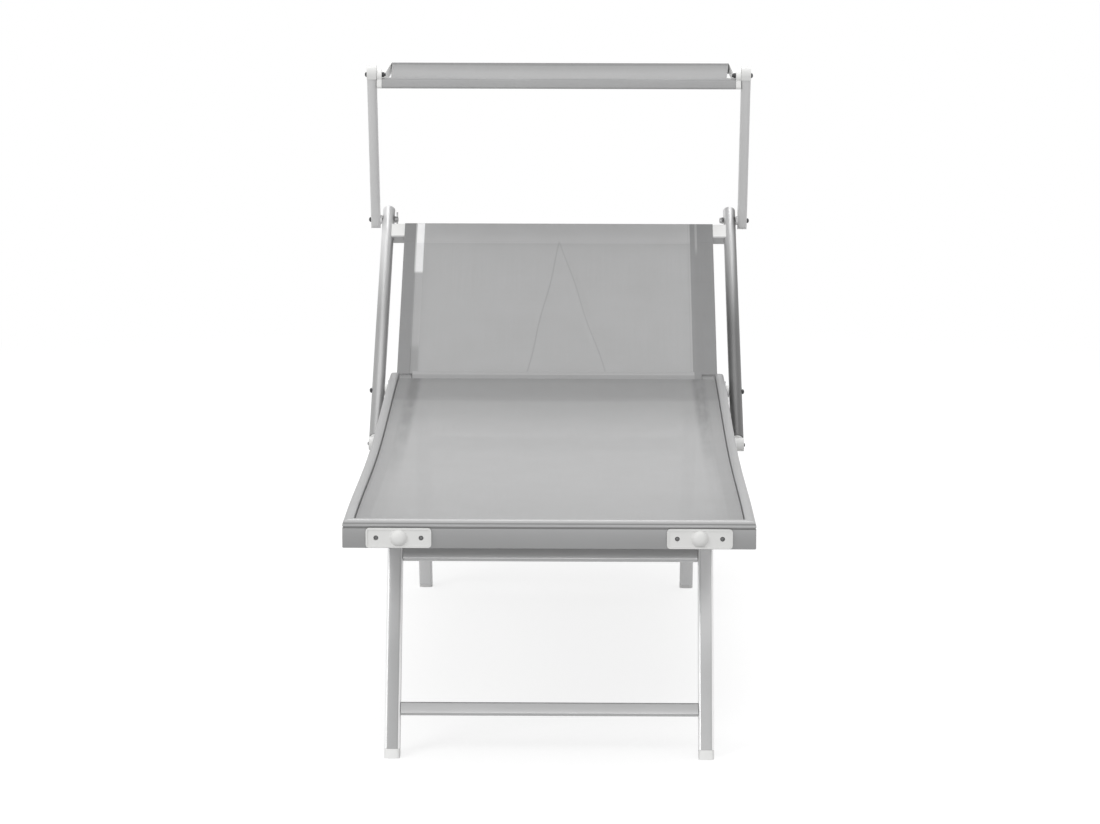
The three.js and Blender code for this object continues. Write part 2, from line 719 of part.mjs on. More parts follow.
// A bolt along +X: a domed head outside, a plain shank and a nut at the inner end
function bolt(innerEnd, outerFace, nutAt = null) {
  const shank = BOLT_DIAMETER / 2;
  const head = BOLT_HEAD_DIAMETER / 2;
  const seat = outerFace + SEAT_GAP;
  const profile = [[innerEnd, 0], [innerEnd, shank]];
  if (nutAt !== null) {
    const nutOuter = nutAt - SEAT_GAP;
    profile.push([nutOuter - NUT_HEIGHT, shank], [nutOuter - NUT_HEIGHT, head]);
    profile.push([nutOuter, head], [nutOuter, shank]);
  }
  profile.push([seat, shank], [seat, head], [seat + BOLT_HEAD_HEIGHT / 2, head]);
  profile.push([seat + BOLT_HEAD_HEIGHT, head / 2], [seat + BOLT_HEAD_HEIGHT, 0]);
  return turned(profile);
}

function onSide(geometry, sign) {
  return sign < 0 ? geometry.rotateZ(Math.PI) : geometry;
}

// Leg frames
const LEG_INNER = LEG_CENTRE - LEG_TUBE / 2;
const LEG_OUTER = LEG_CENTRE + LEG_TUBE / 2;

const CROSS_LENGTH = 2 * (LEG_INNER - SEAT_GAP);

// How far each frame leans, and how long its legs are from hinge to floor
function legLean({ footY, hingeY, hingeZ }) {
  return Math.atan2(footY - hingeY, hingeZ);
}

function legLength({ footY, hingeY, hingeZ }) {
  return Math.hypot(footY - hingeY, hingeZ);
}

// A group whose origin is a frame's hinge and whose -Z runs down its legs
function legGroup(frame) {
  const group = new THREE.Group();
  group.position.set(0, frame.hingeY, frame.hingeZ);
  group.rotation.x = legLean(frame);
  return group;
}

// The block between rail and leg, with the lug that the open leg leans on
function legHingeBlock(sign, frame) {
  const thickness = RAIL_INNER - LEG_OUTER - 2 * SEAT_GAP;
  const middle = (RAIL_INNER + LEG_OUTER) / 2;
  const disc = rodAlongX(HINGE_BLOCK_RADIUS, thickness);
  const lugY = frame.outward * (LEG_TUBE / 2 + SEAT_GAP + STOP_LUG_THICKNESS / 2);
  const lugHeight = STOP_LUG_TOP + STOP_LUG_LENGTH;
  const lug = new THREE.BoxGeometry(thickness, STOP_LUG_THICKNESS, lugHeight);
  lug.translate(0, lugY, -lugHeight / 2);
  const reach = thickness + STOP_LUG_REACH;
  const finger = new THREE.BoxGeometry(reach, STOP_LUG_THICKNESS, STOP_LUG_LENGTH);
  finger.translate((-sign * STOP_LUG_REACH) / 2, lugY, -STOP_LUG_TOP - STOP_LUG_LENGTH / 2);
  const bore = rodAlongX(HOLE_RADIUS, thickness + 2 * CUT_OVERRUN, SMALL_SEGMENTS);
  return cut(join(disc, lug, finger), bore).translate(sign * middle, 0, 0);
}

function legBolt(sign) {
  const innerEnd = LEG_INNER - SEAT_GAP - NUT_HEIGHT - SEAT_GAP;
  return onSide(bolt(innerEnd, HALF_SEAT, LEG_INNER), sign);
}

// A square leg, round at the top about its bolt and open at the foot for the cap's stem
function leg(sign, frame) {
  const half = LEG_TUBE / 2;
  const end = legLength(frame) - FOOT_CAP_HEIGHT;
  const outer = roundedRectangle(LEG_TUBE, LEG_TUBE, LEG_CORNER_RADIUS);
  const innerRadius = LEG_CORNER_RADIUS - LEG_WALL;
  const inner = roundedRectangle(
    LEG_TUBE - 2 * LEG_WALL, LEG_TUBE - 2 * LEG_WALL, innerRadius, CORNER_STEPS - 1,
  );
  const tube = prism(outer, end + half, [inner]).translate(0, 0, -(end - half) / 2);
  const profile = stadium(0, end + half, half).map((p) => new THREE.Vector2(p.y, -p.x));
  const rounding = alongX(prism(profile, LEG_TUBE + 2 * CUT_OVERRUN));
  const bore = rodAlongX(HOLE_RADIUS, LEG_TUBE + 2 * CUT_OVERRUN, SMALL_SEGMENTS);
  return cut(common(tube, rounding), bore).translate(sign * LEG_CENTRE, 0, 0);
}

// A white cap on a leg's end: a stem in the tube and a foot cut level with the floor
function footCap(sign, frame) {
  const length = legLength(frame);
  const top = length - FOOT_CAP_HEIGHT + SEAT_GAP;
  const depth = FOOT_CAP_HEIGHT + LEG_TUBE;
  const foot = prism(roundedRectangle(LEG_TUBE, LEG_TUBE, LEG_CORNER_RADIUS), depth);
  foot.translate(0, 0, -top - depth / 2);
  const stemWidth = LEG_TUBE - 2 * (LEG_WALL + SEAT_GAP);
  const stemRadius = LEG_CORNER_RADIUS - LEG_WALL;
  const stem = prism(roundedRectangle(stemWidth, stemWidth, stemRadius), CAP_STEM_LENGTH);
  stem.translate(0, 0, -top + CAP_STEM_LENGTH / 2 - SEAT_GAP);
  const below = new THREE.BoxGeometry(2 * LEG_TUBE, length, length);
  below.translate(0, 0, -length / 2).rotateX(-legLean(frame));
  below.translate(0, 0, -frame.hingeZ * Math.cos(legLean(frame)));
  below.translate(0, -frame.hingeZ * Math.sin(legLean(frame)), 0);
  return cut(join(foot, stem), below).translate(sign * LEG_CENTRE, 0, 0);
}

// A cross tube between the legs at a height above the floor
function crossTube(frame, height) {
  const down = (frame.hingeZ - height) / Math.cos(legLean(frame));
  const inner = roundedRectangle(
    CROSS_TUBE - 2 * CROSS_WALL,
    CROSS_TUBE - 2 * CROSS_WALL,
    CROSS_CORNER_RADIUS - CROSS_WALL,
    CORNER_STEPS - 1,
  );
  const outer = roundedRectangle(CROSS_TUBE, CROSS_TUBE, CROSS_CORNER_RADIUS);
  return alongX(prism(outer, CROSS_LENGTH, [inner])).translate(0, 0, -down);
}

// Backrest pieces, in a frame at the hinge: +Y runs up the arms and +Z faces the sitter
function arm(sign) {
  const radius = ARM_DIAMETER / 2;
  const from = -ARM_EYE_DISTANCE + radius + EYE_COLLAR;
  const length = ARM_UPPER_LENGTH - ARM_DOME_HEIGHT - from;
  const wall = ARM_WALL;
  const domeShares = [
    [0, 1],
    [0.5, 0.86],
    [0.87, 0.5],
    [1, 0],
  ];
  const outside = domeShares.map(([up, out]) => [
    length + up * ARM_DOME_HEIGHT,
    out * radius,
  ]);
  const profile = [[length - wall, 0], [length - wall, radius - wall], [0, radius - wall]];
  profile.push([0, radius], ...outside);
  const tube = turned(profile, ROUND_SEGMENTS).rotateZ(Math.PI / 2).translate(0, from, 0);
  const boreLength = ARM_DIAMETER + 2 * CUT_OVERRUN;
  const bores = [0, POST_BOLT_DISTANCE].map((along) =>
    rodAlongX(HOLE_RADIUS, boreLength, SMALL_SEGMENTS).translate(0, along, 0),
  );
  return cut(tube, ...bores).translate(sign * ARM_CENTRE, 0, 0);
}

// The nylon eye at an arm's lower end, with the peg that runs in the quadrant's slot
function armEye(sign) {
  const radius = ARM_DIAMETER / 2;
  const top = ARM_EYE_DISTANCE - radius - EYE_COLLAR + SEAT_GAP;
  const outline = stadium(-ARM_EYE_DISTANCE, -top - radius, radius)
    .map((p) => new THREE.Vector2(Math.min(p.x, -top), p.y));
  const eye = alongX(prism(outline, ARM_DIAMETER - 2 * SEAT_GAP));
  const stemRadius = radius - ARM_WALL - SEAT_GAP;
  const stem = turned(
    [[-top - EYE_COLLAR, 0], [-top - EYE_COLLAR, stemRadius],
      [-top + EYE_STEM_LENGTH, stemRadius], [-top + EYE_STEM_LENGTH, 0]],
    ROUND_SEGMENTS,
  ).rotateZ(Math.PI / 2);
  const pegEnd = HALF_SEAT + 2 * SEAT_GAP;
  const peg = rodAlongX(PEG_DIAMETER / 2, ARM_CENTRE - pegEnd, SMALL_SEGMENTS);
  peg.translate((-sign * (ARM_CENTRE - pegEnd)) / 2, -ARM_EYE_DISTANCE, 0);
  return join(eye, stem, peg).translate(sign * ARM_CENTRE, 0, 0);
}

function pivotTube() {
  const length = BACKREST_WIDTH - 2 * BAR_WIDTH + BAR_WALL - 2 * SEAT_GAP;
  return pipeAlongX(PIVOT_TUBE_DIAMETER / 2, PIVOT_TUBE_WALL, length);
}

function pivotBolt(sign) {
  const innerEnd = TONGUE_OUTER - TONGUE_THICKNESS - BOLT_DIAMETER;
  return onSide(bolt(innerEnd, ARM_CENTRE + ARM_DIAMETER / 2), sign);
}

// A side tube with its hinge tongue welded inside the lower end
function backSideTube(sign) {
  const from = SIDE_TUBE_START;
  const to = TOP_BAR_DISTANCE - BAR_WIDTH / 2 - SEAT_GAP;
  const outer = roundedRectangle(BAR_WIDTH, BAR_DEPTH, BAR_CORNER_RADIUS);
  const inner = roundedRectangle(
    BAR_WIDTH - 2 * BAR_WALL,
    BAR_DEPTH - 2 * BAR_WALL,
    BAR_CORNER_RADIUS - BAR_WALL,
    CORNER_STEPS - 1,
  );
  const walls = alongY(prism(outer, to - from, [inner])).translate(0, (from + to) / 2, 0);
  const end = alongY(prism(outer, BAR_WALL)).translate(0, from + BAR_WALL / 2, 0);
  const tube = join(walls, end).translate(sign * (BACKREST_WIDTH / 2 - BAR_WIDTH / 2), 0, 0);
  const tongueX = sign * (TONGUE_OUTER - TONGUE_THICKNESS / 2);
  const hub = rodAlongX(TONGUE_HUB_RADIUS, TONGUE_THICKNESS).translate(tongueX, 0, 0);
  const strip = new THREE.BoxGeometry(TONGUE_THICKNESS, TONGUE_LENGTH, TONGUE_WIDTH);
  strip.translate(tongueX, TONGUE_LENGTH / 2, 0);
  const bore = rodAlongX(HOLE_RADIUS, TONGUE_THICKNESS + CUT_OVERRUN, SMALL_SEGMENTS);
  return cut(join(tube, hub, strip), bore.translate(tongueX, 0, 0));
}

// The top bar, whose ends are coped to the arms
function backTopBar() {
  const outer = roundedRectangle(BAR_WIDTH, BAR_DEPTH, BAR_CORNER_RADIUS);
  const inner = roundedRectangle(
    BAR_WIDTH - 2 * BAR_WALL,
    BAR_DEPTH - 2 * BAR_WALL,
    BAR_CORNER_RADIUS - BAR_WALL,
    CORNER_STEPS - 1,
  );
  const bar = alongX(prism(outer, 2 * ARM_CENTRE, [inner]));
  const cope = SIDES.map(({ sign }) => {
    const outline = circlePoints(ARM_DIAMETER / 2 + SEAT_GAP, ROUND_SEGMENTS);
    return alongY(prism(outline, BAR_WIDTH + 2 * CUT_OVERRUN)).translate(sign * ARM_CENTRE, 0, 0);
  });
  const coped = solidOf(cut(bar, ...cope)).decompose();
  const whole = coped.reduce((a, b) => (a.volume() > b.volume() ? a : b));
  return geometryOf(whole).translate(0, TOP_BAR_DISTANCE, 0);
}

// The backrest fabric: a front panel, a loop over the top bar, hems round the side tubes
// and a sleeve round the pivot tube
function backFabric() {
  const t = FABRIC_THICKNESS;
  const gap = SEAT_GAP;
  const halfWidth = BACKREST_WIDTH / 2 + gap + t;
  const face = BAR_DEPTH / 2 + gap;
  const top = TOP_BAR_DISTANCE + BAR_WIDTH / 2;
  const lowHalf = TONGUE_OUTER - TONGUE_THICKNESS - 2 * gap;
  const sleeveInner = PIVOT_TUBE_DIAMETER / 2 + gap;
  const inside = BACKREST_WIDTH / 2 - BAR_WIDTH;
  const free = TOP_BAR_DISTANCE - BAR_WIDTH / 2 - SIDE_TUBE_START;
  const stations = Array.from(
    { length: FABRIC_STATIONS / 2 + 1 },
    (_, i) => SIDE_TUBE_START + (2 * free * i) / FABRIC_STATIONS,
  );
  stations.push(top);
  const panel = sweep(sheetSection(halfWidth, inside), [], stations, (x, z, y) => {
    const across = Math.min(Math.abs(x) / inside, 1);
    const along = Math.min((y - SIDE_TUBE_START) / free, 1);
    const hollow = (1 - across * across) * Math.sin(Math.PI * along);
    return [x, y, face + z - BACK_PANEL_SAG * hollow];
  });
  const slope = (sleeveInner - face) / (SIDE_TUBE_START + t);
  const lower = sweep(
    [
      new THREE.Vector2(-lowHalf, 0),
      new THREE.Vector2(lowHalf, 0),
      new THREE.Vector2(lowHalf, t),
      new THREE.Vector2(-lowHalf, t),
    ],
    [],
    [0, SIDE_TUBE_START + t],
    (x, z, y) => [x, y, sleeveInner - slope * y + z],
  );
  const sleeve = pipeAlongX(sleeveInner + t, t, 2 * lowHalf);
  const hemOuter = roundedRectangle(
    BAR_WIDTH + 2 * (gap + t), BAR_DEPTH + 2 * (gap + t), BAR_CORNER_RADIUS + t,
  );
  const hemInner = roundedRectangle(
    BAR_WIDTH + 2 * gap, BAR_DEPTH + 2 * gap, BAR_CORNER_RADIUS,
  );
  const notches = SIDES.map(({ sign }) => {
    const tool = new THREE.BoxGeometry(BAR_WIDTH + 2 * gap, 4 * (gap + t), BAR_DEPTH + 2 * gap);
    return tool.translate(sign * (BACKREST_WIDTH / 2 - BAR_WIDTH / 2), -BAR_WIDTH / 2, 0);
  });
  const topLoop = cut(alongX(prism(hemOuter, 2 * halfWidth, [hemInner])), ...notches);
  topLoop.translate(0, TOP_BAR_DISTANCE, 0);
  const hemLength = TOP_BAR_DISTANCE - BAR_WIDTH / 2 - t - SIDE_TUBE_START;
  const hems = SIDES.map(({ sign }) => {
    const loop = alongY(prism(hemOuter, hemLength, [hemInner]));
    const keep = new THREE.BoxGeometry(BACK_HEM_WIDTH, hemLength + t, 2 * BAR_DEPTH);
    keep.translate((sign * (BAR_WIDTH + 2 * (gap + t) - BACK_HEM_WIDTH)) / 2, 0, 0);
    const kept = common(loop, keep);
    return kept.translate(
      sign * (BACKREST_WIDTH / 2 - BAR_WIDTH / 2),
      SIDE_TUBE_START + hemLength / 2,
      0,
    );
  });
  return join(panel, lower, sleeve, topLoop, ...hems);
}

// Canopy posts, in a frame at the arms' upper bolts: +Y runs up the posts
function canopyPost(sign) {
  const half = POST_DEPTH / 2;
  const top = POST_LENGTH - POST_CAP_DROP;
  const outer = roundedRectangle(POST_WIDTH, POST_DEPTH, POST_CORNER_RADIUS);
  const inner = roundedRectangle(
    POST_WIDTH - 2 * POST_WALL,
    POST_DEPTH - 2 * POST_WALL,
    POST_CORNER_RADIUS - POST_WALL,
  );
  const foot = POST_FOOT_LENGTH;
  const body = alongY(prism(outer, top + foot)).translate(0, (top - foot) / 2, 0);
  const hollowFrom = half;
  const hollow = alongY(prism(inner, top - hollowFrom + CUT_OVERRUN));
  hollow.translate(0, (top + hollowFrom + CUT_OVERRUN) / 2, 0);
  const rounding = alongX(prism(stadium(half - foot, top + half, half), POST_WIDTH + CUT_OVERRUN));
  const reach = POST_CENTRE - ARM_CENTRE - ARM_DIAMETER / 2 - SEAT_GAP;
  const spacer = rodAlongX(POST_SPACER_DIAMETER / 2, reach).translate((-sign * reach) / 2, 0, 0);
  const bore = rodAlongX(HOLE_RADIUS, 2 * reach + CUT_OVERRUN, SMALL_SEGMENTS);
  const made = cut(join(cut(common(body, rounding), hollow), spacer), bore);
  return made.translate(sign * POST_CENTRE, 0, 0);
}

// A white knuckle on a post's top, round about the canopy's hinge
function postCap(sign) {
  const from = POST_LENGTH - POST_CAP_DROP + SEAT_GAP;
  const half = POST_CAP_DEPTH / 2;
  const knuckle = common(
    alongX(prism(stadium(from - half, POST_LENGTH + POST_CAP_RISE - half, half), POST_WIDTH)),
    new THREE.BoxGeometry(POST_WIDTH, 2 * half, 2 * half).translate(0, from + half, 0),
  );
  const inset = POST_WALL + SEAT_GAP;
  const outline = roundedRectangle(
    POST_WIDTH - 2 * inset, POST_DEPTH - 2 * inset, POST_CORNER_RADIUS - inset,
  );
  const stem = alongY(prism(outline, CAP_STEM_LENGTH));
  stem.translate(0, from + SEAT_GAP - CAP_STEM_LENGTH / 2, 0);
  const bore = rodAlongX(HOLE_RADIUS, POST_WIDTH + CUT_OVERRUN, SMALL_SEGMENTS);
  bore.translate(0, POST_LENGTH, 0);
  return cut(join(knuckle, stem), bore).translate(sign * POST_CENTRE, 0, 0);
}

const WING_FACE = ARM_CENTRE - ARM_DIAMETER / 2 - SEAT_GAP;

function postBolt(sign) {
  const innerEnd = WING_FACE - WING_HUB_LENGTH - SEAT_GAP;
  const made = onSide(bolt(innerEnd, POST_CENTRE + POST_WIDTH / 2), sign);
  return made.translate(0, POST_BOLT_DISTANCE, 0);
}

// A wing nut: a tapered hub and two raised wings
function wingNut(sign) {
  const half = WING_HUB_DIAMETER / 2;
  const end = WING_FACE - WING_HUB_LENGTH;
  const profile = [
    [end, HOLE_RADIUS],
    [end, (half + HOLE_RADIUS) / 2],
    [WING_FACE, half],
    [WING_FACE, HOLE_RADIUS],
    [end, HOLE_RADIUS],
  ];
  const hub = turned(profile);
  const wings = [-1, 1].map((way) => {
    const reach = WING_SPAN / 2 - HOLE_RADIUS;
    const outline = roundedRectangle(reach, WING_HEIGHT, WING_THICKNESS);
    const wing = alongY(prism(outline, WING_THICKNESS)).rotateZ(Math.PI / 2);
    const x = end + WING_HEIGHT / 2 - WING_THICKNESS;
    return wing.rotateX(Math.PI / 2).translate(x, 0, way * (HOLE_RADIUS + reach / 2));
  });
  const bore = rodAlongX(HOLE_RADIUS, 2 * WING_SPAN, SMALL_SEGMENTS).translate(end, 0, 0);
  const nut = cut(join(hub, ...wings), bore).rotateX(deg(WING_REST_ANGLE_DEG));
  return onSide(nut, sign);
}

// Canopy pieces, in a frame at the posts' upper bolts: +Y runs back over the head end
const SIDE_BAR_OUTER = POST_CENTRE - POST_WIDTH / 2 - CANOPY_SIDE_CLEARANCE;
const SIDE_BAR_INNER = SIDE_BAR_OUTER - SIDE_BAR_THICKNESS;
const CANOPY_SLEEVE_REACH = CANOPY_BAR_WIDTH / 2 + SEAT_GAP + FABRIC_THICKNESS;
const CANOPY_BAR_PLACES = [
  { end: "front", y: 0 },
  { end: "rear", y: CANOPY_DEPTH - CANOPY_SLEEVE_REACH },
];

// A tube along X of the canopy bars' upright flat-oval section, its outside grown by a margin
function flatTube(grown, wall, length) {
  const sizes = [grown, grown - wall].map((more) => [
    CANOPY_BAR_WIDTH + 2 * more,
    CANOPY_BAR_HEIGHT + 2 * more,
    CANOPY_BAR_RADIUS + more,
  ]);
  const [outer, inner] = sizes.map((size) => roundedRectangle(...size));
  return alongX(prism(outer, length, [inner]));
}

// A white side bar with its hinge boss round the post's bolt
function canopySideBar(sign) {
  const half = SIDE_BAR_HEIGHT / 2;
  const length = CANOPY_DEPTH + CANOPY_SLEEVE_REACH;
  const outline = roundedRectangle(length, SIDE_BAR_HEIGHT, half / 2, CORNER_STEPS + 1);
  const bar = alongX(prism(outline, SIDE_BAR_THICKNESS));
  bar.translate(0, (CANOPY_DEPTH - CANOPY_SLEEVE_REACH) / 2, -CANOPY_DROP);
  const boss = rodAlongX(SIDE_BAR_NOSE_RADIUS, SIDE_BAR_THICKNESS);
  const bore = rodAlongX(HOLE_RADIUS, SIDE_BAR_THICKNESS + CUT_OVERRUN, SMALL_SEGMENTS);
  const made = cut(join(bar, boss), bore);
  return made.translate(sign * (SIDE_BAR_OUTER - SIDE_BAR_THICKNESS / 2), 0, 0);
}

function canopyBolt(sign) {
  const innerEnd = SIDE_BAR_INNER - NUT_HEIGHT - BOLT_DIAMETER / 2;
  return onSide(bolt(innerEnd, POST_CENTRE + POST_WIDTH / 2, SIDE_BAR_INNER), sign);
}

function canopyBar(y) {
  const bar = flatTube(0, CANOPY_BAR_WALL, 2 * (SIDE_BAR_INNER - SEAT_GAP));
  return bar.translate(0, y, -CANOPY_DROP);
}

// The canopy's fabric: a sheet that dips a little between two sleeves round the bars, its side
// edges drawn in towards the front so that the hinge bolts stay clear of it
function canopyFabric() {
  const t = FABRIC_THICKNESS;
  const half = SIDE_BAR_INNER - CANOPY_SIDE_CLEARANCE;
  const [front, rear] = CANOPY_BAR_PLACES;
  const span = rear.y - front.y;
  const inner = CANOPY_BAR_HEIGHT / 2 + SEAT_GAP;
  const stations = Array.from(
    { length: FABRIC_STATIONS / 2 + 1 },
    (_, i) => front.y + (2 * span * i) / FABRIC_STATIONS,
  );
  const sheet = sweep(sheetSection(half, half - FABRIC_MARGIN), [], stations, (x, z, y) => {
    const across = Math.abs(x) / half;
    const along = (y - front.y) / span;
    const dip = (1 - across * across) * Math.sin(Math.PI * along);
    const narrowed = x * (1 - (CANOPY_FABRIC_TAPER * (1 - along)) / half);
    return [narrowed, y, inner + z - CANOPY_FABRIC_DIP * dip];
  });
  const sleeves = CANOPY_BAR_PLACES.map(({ y }) =>
    flatTube(SEAT_GAP + t, t, 2 * half).translate(0, y, 0),
  );
  return join(sheet, ...sleeves).translate(0, 0, -CANOPY_DROP);
}

// Assembly: the foot face of the crossbar lies at y = 0 inside the lounger group
const lounger = new THREE.Group();
lounger.position.y = -ORIGIN_FROM_FOOT;

const seat = new THREE.Group();
lounger.add(seat);
seat.add(piece("foot_crossbar", footCrossbar(), ANODISED));
seat.add(piece("seat_rear_bar", seatRearBar(), ANODISED));
seat.add(piece("seat_fabric", seatFabric(), MESH_FABRIC));
for (const { side, sign } of SIDES) {
  seat.add(piece(`side_rail_${side}`, sideRail(sign), ANODISED));
  seat.add(piece(`rail_end_plug_${side}`, railEndPlug(sign), NYLON));
  seat.add(piece(`bumper_plate_${side}`, bumperPlate(sign), NYLON));
  seat.add(piece(`quadrant_plate_${side}`, quadrantPlate(sign), ANODISED));
  seat.add(piece(`hinge_bush_${side}`, hingeBush(sign), NYLON));
}

for (const frame of LEG_FRAMES) {
  const legs = legGroup(frame);
  lounger.add(legs);
  legs.add(piece(`${frame.end}_upper_cross_tube`, crossTube(frame, UPPER_CROSS_HEIGHT), ANODISED));
  legs.add(piece(`${frame.end}_lower_cross_tube`, crossTube(frame, LOWER_CROSS_HEIGHT), ANODISED));
  for (const { side, sign } of SIDES) {
    legs.add(piece(`${frame.end}_leg_${side}`, leg(sign, frame), ANODISED));
    legs.add(piece(`${frame.end}_foot_cap_${side}`, footCap(sign, frame), NYLON));
    legs.add(piece(`${frame.end}_hinge_block_${side}`, legHingeBlock(sign, frame), NYLON));
    legs.add(piece(`${frame.end}_leg_bolt_${side}`, legBolt(sign), STEEL));
  }
}

const backrest = new THREE.Group();
backrest.position.set(0, HINGE_FROM_FOOT, HINGE_HEIGHT);
backrest.rotation.x = deg(BACKREST_ANGLE_DEG);
lounger.add(backrest);
backrest.add(piece("pivot_tube", pivotTube(), ANODISED));
backrest.add(piece("back_top_bar", backTopBar(), ANODISED));
backrest.add(piece("back_fabric", backFabric(), MESH_FABRIC));
for (const { side, sign } of SIDES) {
  backrest.add(piece(`arm_${side}`, arm(sign), POLISHED));
  backrest.add(piece(`arm_eye_${side}`, armEye(sign), NYLON));
  backrest.add(piece(`back_side_tube_${side}`, backSideTube(sign), ANODISED));
  backrest.add(piece(`pivot_bolt_${side}`, pivotBolt(sign), STEEL));
  backrest.add(piece(`post_bolt_${side}`, postBolt(sign), STEEL));
}

// Posts and wing nuts turn about the arms' upper bolts
const postHinge = new THREE.Group();
postHinge.position.y = POST_BOLT_DISTANCE;
backrest.add(postHinge);
const posts = new THREE.Group();
posts.rotation.x = deg(POST_ANGLE_DEG - BACKREST_ANGLE_DEG);
postHinge.add(posts);
for (const { side, sign } of SIDES) {
  posts.add(piece(`canopy_post_${side}`, canopyPost(sign), PAINTED));
  posts.add(piece(`post_cap_${side}`, postCap(sign), NYLON));
  postHinge.add(piece(`wing_nut_${side}`, wingNut(sign), STEEL));
}

// The canopy lies level whatever the posts' lean at rest
const canopy = new THREE.Group();
canopy.position.y = POST_LENGTH;
canopy.rotation.x = -deg(POST_ANGLE_DEG);
posts.add(canopy);
canopy.add(piece("canopy_fabric", canopyFabric(), MESH_FABRIC));
for (const { end, y } of CANOPY_BAR_PLACES) {
  canopy.add(piece(`canopy_${end}_bar`, canopyBar(y), ANODISED));
}
for (const { side, sign } of SIDES) {
  canopy.add(piece(`canopy_side_bar_${side}`, canopySideBar(sign), PAINTED));
  canopy.add(piece(`canopy_bolt_${side}`, canopyBolt(sign), STEEL));
}

export default lounger;
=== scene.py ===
"""Looks of a folding sun lounger with a small canopy, in metres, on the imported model's frame."""

import json
import math

import bpy
from mathutils import Matrix, Vector

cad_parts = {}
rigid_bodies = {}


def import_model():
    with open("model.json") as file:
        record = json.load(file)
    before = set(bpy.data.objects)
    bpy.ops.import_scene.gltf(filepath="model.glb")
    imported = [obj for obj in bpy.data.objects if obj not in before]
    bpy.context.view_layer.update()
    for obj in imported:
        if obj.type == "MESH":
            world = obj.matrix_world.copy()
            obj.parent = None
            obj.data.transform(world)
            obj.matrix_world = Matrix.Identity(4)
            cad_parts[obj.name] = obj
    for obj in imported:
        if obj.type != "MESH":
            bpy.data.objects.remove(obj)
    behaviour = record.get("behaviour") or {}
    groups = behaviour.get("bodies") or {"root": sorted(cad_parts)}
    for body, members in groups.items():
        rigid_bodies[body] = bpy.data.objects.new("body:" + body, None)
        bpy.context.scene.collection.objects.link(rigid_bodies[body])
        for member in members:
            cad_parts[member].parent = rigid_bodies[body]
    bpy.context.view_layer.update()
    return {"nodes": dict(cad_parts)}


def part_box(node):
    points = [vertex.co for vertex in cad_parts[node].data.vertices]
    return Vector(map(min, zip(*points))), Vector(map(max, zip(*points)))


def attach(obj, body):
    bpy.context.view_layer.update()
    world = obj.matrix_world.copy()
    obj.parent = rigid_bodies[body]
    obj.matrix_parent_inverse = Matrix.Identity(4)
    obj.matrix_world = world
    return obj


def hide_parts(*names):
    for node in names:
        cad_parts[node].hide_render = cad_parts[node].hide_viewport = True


for old in list(bpy.data.objects):
    bpy.data.objects.remove(old)
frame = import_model()
nodes = frame["nodes"]
SIDES = (("left", -1), ("right", 1))
X, Y, Z = 0, 1, 2
MICROMETRE_PLACES = 6


def ends_of(name, axis):
    """The low and the high end of a solid of the frame along one axis, to a micrometre."""
    low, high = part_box(name)
    return round(low[axis], MICROMETRE_PLACES), round(high[axis], MICROMETRE_PLACES)


def middle_of(name, axis):
    """The middle of a solid of the frame along one axis."""
    return sum(ends_of(name, axis)) / 2


# Sizes and places read from the frame
FOOT_Y, FOOT_INNER_Y = ends_of("foot_crossbar", Y)
HALF_BED = ends_of("foot_crossbar", X)[1]
RAIL_WIDTH = FOOT_INNER_Y - FOOT_Y
RAIL_INNER = HALF_BED - RAIL_WIDTH
RAIL_BOTTOM = ends_of("foot_crossbar", Z)[0]
SEAT_LENGTH = ends_of("side_rail_left", Y)[1] - FOOT_Y
REAR_BAR_Y = middle_of("seat_rear_bar", Y)
REAR_BAR_Z = middle_of("seat_rear_bar", Z)
REAR_BAR_R = ends_of("seat_rear_bar", Y)[1] - REAR_BAR_Y
HINGE = Vector((0, middle_of("hinge_bush_left", Y), middle_of("hinge_bush_left", Z)))
TUBE_INNER, BACK_HALF = ends_of("back_side_tube_right", X)
BAR_W = BACK_HALF - TUBE_INNER
CANOPY_HINGE = Vector((0, middle_of("canopy_bolt_left", Y), middle_of("canopy_bolt_left", Z)))
CANOPY_DEPTH = ends_of("canopy_side_bar_left", Y)[1] - middle_of("canopy_bolt_left", Y)
CANOPY_DROP = middle_of("canopy_bolt_left", Z) - middle_of("canopy_front_bar", Z)
PLATE_X = middle_of("bumper_plate_right", X)
PLATE_Z = middle_of("bumper_plate_right", Z)

# The frame's other sizes, as its solids have them
LEDGE = 0.039
SEAT_SAG = 0.020
SLOT_INSET = 0.0183
SLOT_X = HALF_BED - SLOT_INSET
BACK_ANGLE = math.radians(35.5)
TOP_BAR = 0.450
BAR_D = 0.020
TUBE_START = 0.042
PIVOT_TUBE_R = 0.0125
CANOPY_BAR = (0.006, 0.0095, 0.004)
CANOPY_END_INSET = 0.0077
SCREW_X = 0.0355
SCREW_R = 0.0036

# How finely the paths of the cloths are cut
HALF_TURN_STEPS = 14
QUARTER_TURN_STEPS = 4
BAR_CORNER_STEPS = 6
HEM_STEPS = 6
TAIL_STEPS = 4

# Cloth: its thickness, the gap under it, and the places of its hems, seams and creases
CLOTH = 0.0007
GAP = 0.0003
LIFT = GAP + CLOTH
SHEET_LEVEL = RAIL_BOTTOM + LEDGE + GAP
CROSS_SAG = 0.009
CANOPY_TAPER = 0.018
HEM_RUN = 0.0638
BACK_SEAM = 0.3785
CREASE_FEET = (-0.060, 0.096)
CREASE_TOP = 0.003
CREASE_LENGTH = 0.380


def clamped(value):
    """The value held between zero and one."""
    return max(0.0, min(1.0, value))


def sag_at(y):
    """The side rails' dip at a place along the bed, measured from the foot face."""
    return SEAT_SAG * (1 - math.cos(2 * math.pi * (y - FOOT_Y) / SEAT_LENGTH)) / 2


